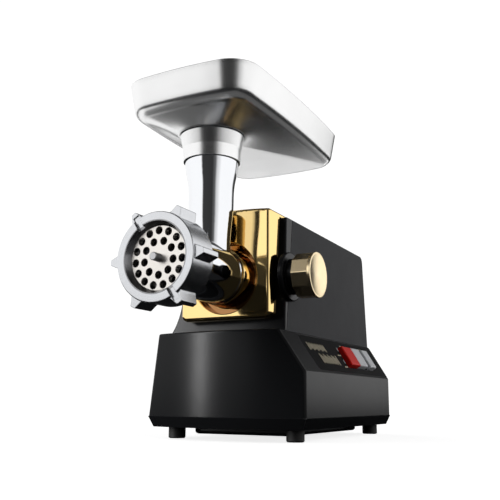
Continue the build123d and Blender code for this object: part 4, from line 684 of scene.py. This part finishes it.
def makeFloor(s):
    mesh = bpy.data.meshes.new("studioFloor")
    half = s["floorSize"] / 2
    mesh.from_pydata([(-half, -half, 0), (half, -half, 0), (half, half, 0), (-half, half, 0)], [], [(0, 1, 2, 3)])
    floor = bpy.data.objects.new("studioFloor", mesh)
    scene.collection.objects.link(floor)
    material = bpy.data.materials.new("studioFloor")
    material.use_nodes = True
    tree = material.node_tree
    shader = tree.nodes["Principled BSDF"]
    shader.inputs["Base Color"].default_value = (*s["floorColor"], 1)
    shader.inputs["Roughness"].default_value = 0.9
    shader.inputs["Specular IOR Level"].default_value = 0.1
    shader.inputs["Emission Color"].default_value = (1, 1, 1, 1)
    shader.inputs["Emission Strength"].default_value = s["floorGlow"]
    # polished parts see a dark floor, as they would on a studio table with black cards round it
    dark = tree.nodes.new("ShaderNodeBsdfDiffuse")
    dark.inputs["Color"].default_value = (*s["floorMirror"], 1)
    seen = tree.nodes.new("ShaderNodeLightPath")
    mix = tree.nodes.new("ShaderNodeMixShader")
    tree.links.new(seen.outputs["Is Camera Ray"], mix.inputs[0])
    tree.links.new(dark.outputs[0], mix.inputs[1])
    tree.links.new(shader.outputs[0], mix.inputs[2])
    tree.links.new(mix.outputs[0], tree.nodes["Material Output"].inputs["Surface"])
    mesh.materials.append(material)


def rampNode(tree, value, stops):
    ramp = tree.nodes.new("ShaderNodeValToRGB")
    ramp.color_ramp.interpolation = "EASE"
    tree.links.new(value, ramp.inputs[0])
    marks = ramp.color_ramp.elements
    marks[0].position, marks[1].position = stops[0][0], stops[-1][0]
    marks[0].color = (stops[0][1],) * 3 + (1,)
    marks[1].color = (stops[-1][1],) * 3 + (1,)
    for at, level in stops[1:-1]:
        marks.new(at).color = (level, level, level, 1)
    return ramp.outputs[0]


def makeStudioLight(s):
    world = bpy.data.worlds.new("studioLight")
    scene.world = world
    world.use_nodes = True
    tree = world.node_tree
    tree.nodes.clear()
    coords = tree.nodes.new("ShaderNodeTexCoord")
    split = tree.nodes.new("ShaderNodeSeparateXYZ")
    tree.links.new(coords.outputs["Generated"], split.inputs[0])
    turn = mathNode(tree, "ARCTAN2", split.outputs["X"], mathNode(tree, "MULTIPLY", split.outputs["Y"], -1.0))
    around = mathNode(tree, "MULTIPLY_ADD", turn, 0.5 / math.pi, 0.5)
    ring = rampNode(tree, around, [((degrees + 180) / 360, level) for degrees, level in s["around"]])
    rise = mathNode(tree, "MULTIPLY_ADD", split.outputs["Z"], 0.5, 0.5)
    height = rampNode(tree, rise, [((sine + 1) / 2, level) for sine, level in s["upward"]])
    light = mathNode(tree, "MULTIPLY", ring, height)
    total = mathNode(tree, "MULTIPLY_ADD", light, s["white"], s["ceiling"])
    seen = tree.nodes.new("ShaderNodeLightPath")
    mix = tree.nodes.new("ShaderNodeMix")
    mix.data_type = "FLOAT"
    tree.links.new(seen.outputs["Is Camera Ray"], mix.inputs[0])
    tree.links.new(total, mix.inputs[2])
    mix.inputs[3].default_value = s["backdrop"]
    shine = tree.nodes.new("ShaderNodeBackground")
    shine.inputs["Color"].default_value = (1, 1, 1, 1)
    tree.links.new(mix.outputs[0], shine.inputs["Strength"])
    leave = tree.nodes.new("ShaderNodeOutputWorld")
    tree.links.new(shine.outputs[0], leave.inputs["Surface"])


makeFloor(studioSettings)
makeStudioLight(studioSettings)


plasticSlots = ("black_plastic", "side_grey", "label_black", "rubber_black", "red_plastic", "grey_plastic")
lampAim = 0.12  # height on the grinder that the plastic's lamps point at
plasticLights = {
    "leftPanel": {"turn": -37, "rise": 8, "away": 1.9, "wide": 0.16, "high": 1.5, "power": 32.0},
    "rightPanel": {"turn": 150, "rise": 10, "away": 2.2, "wide": 1.2, "high": 1.4, "power": 2.4},
}
trayLights = {
    "behindLeft": {"place": (-0.35, 1.25, 0.01), "wide": 1.3, "deep": 1.0, "power": 5.4},
    "besideLeft": {"place": (-0.78, 0.05, 0.01), "wide": 0.9, "deep": 1.3, "power": 4.0},
    "beneath": {"place": (-0.20, 0.30, 0.008), "wide": 1.2, "deep": 1.6, "power": 0.6},
}


def makePlasticLights(lights):
    takers = bpy.data.collections.new("plasticPieces")
    for part in frame["record"]["subparts"]:
        if part["material_slot"] in plasticSlots:
            takers.objects.link(frame["nodes"][part["node"]])
    for name in ("panelStripes", "panelTicks", "panelDashes"):
        takers.objects.link(bpy.data.objects[name])
    for name, s in lights.items():
        lamp = bpy.data.lights.new(name, "AREA")
        lamp.shape = "RECTANGLE"
        lamp.size, lamp.size_y, lamp.energy = s["wide"], s["high"], s["power"]
        stand = bpy.data.objects.new(name, lamp)
        scene.collection.objects.link(stand)
        turn, rise = math.radians(s["turn"]), math.radians(s["rise"])
        away = Vector((math.sin(turn) * math.cos(rise), -math.cos(turn) * math.cos(rise), math.sin(rise)))
        stand.location = away * s["away"] + Vector((0, 0, lampAim))
        stand.rotation_mode = "QUATERNION"
        stand.rotation_quaternion = away.to_track_quat("Z", "Y")
        stand.light_linking.receiver_collection = takers


def makeTrayLights(lights):
    takers = bpy.data.collections.new("trayPieces")
    takers.objects.link(bpy.data.objects["feedTraySheet"])
    for name, s in lights.items():
        lamp = bpy.data.lights.new(name, "AREA")
        lamp.shape = "RECTANGLE"
        lamp.size, lamp.size_y, lamp.energy = s["wide"], s["deep"], s["power"]
        stand = bpy.data.objects.new(name, lamp)
        scene.collection.objects.link(stand)
        stand.location = s["place"]
        stand.rotation_euler = (math.pi, 0, 0)
        stand.visible_camera = False
        stand.light_linking.receiver_collection = takers


makePlasticLights(plasticLights)
makeTrayLights(trayLights)
print("stage: studio lit")
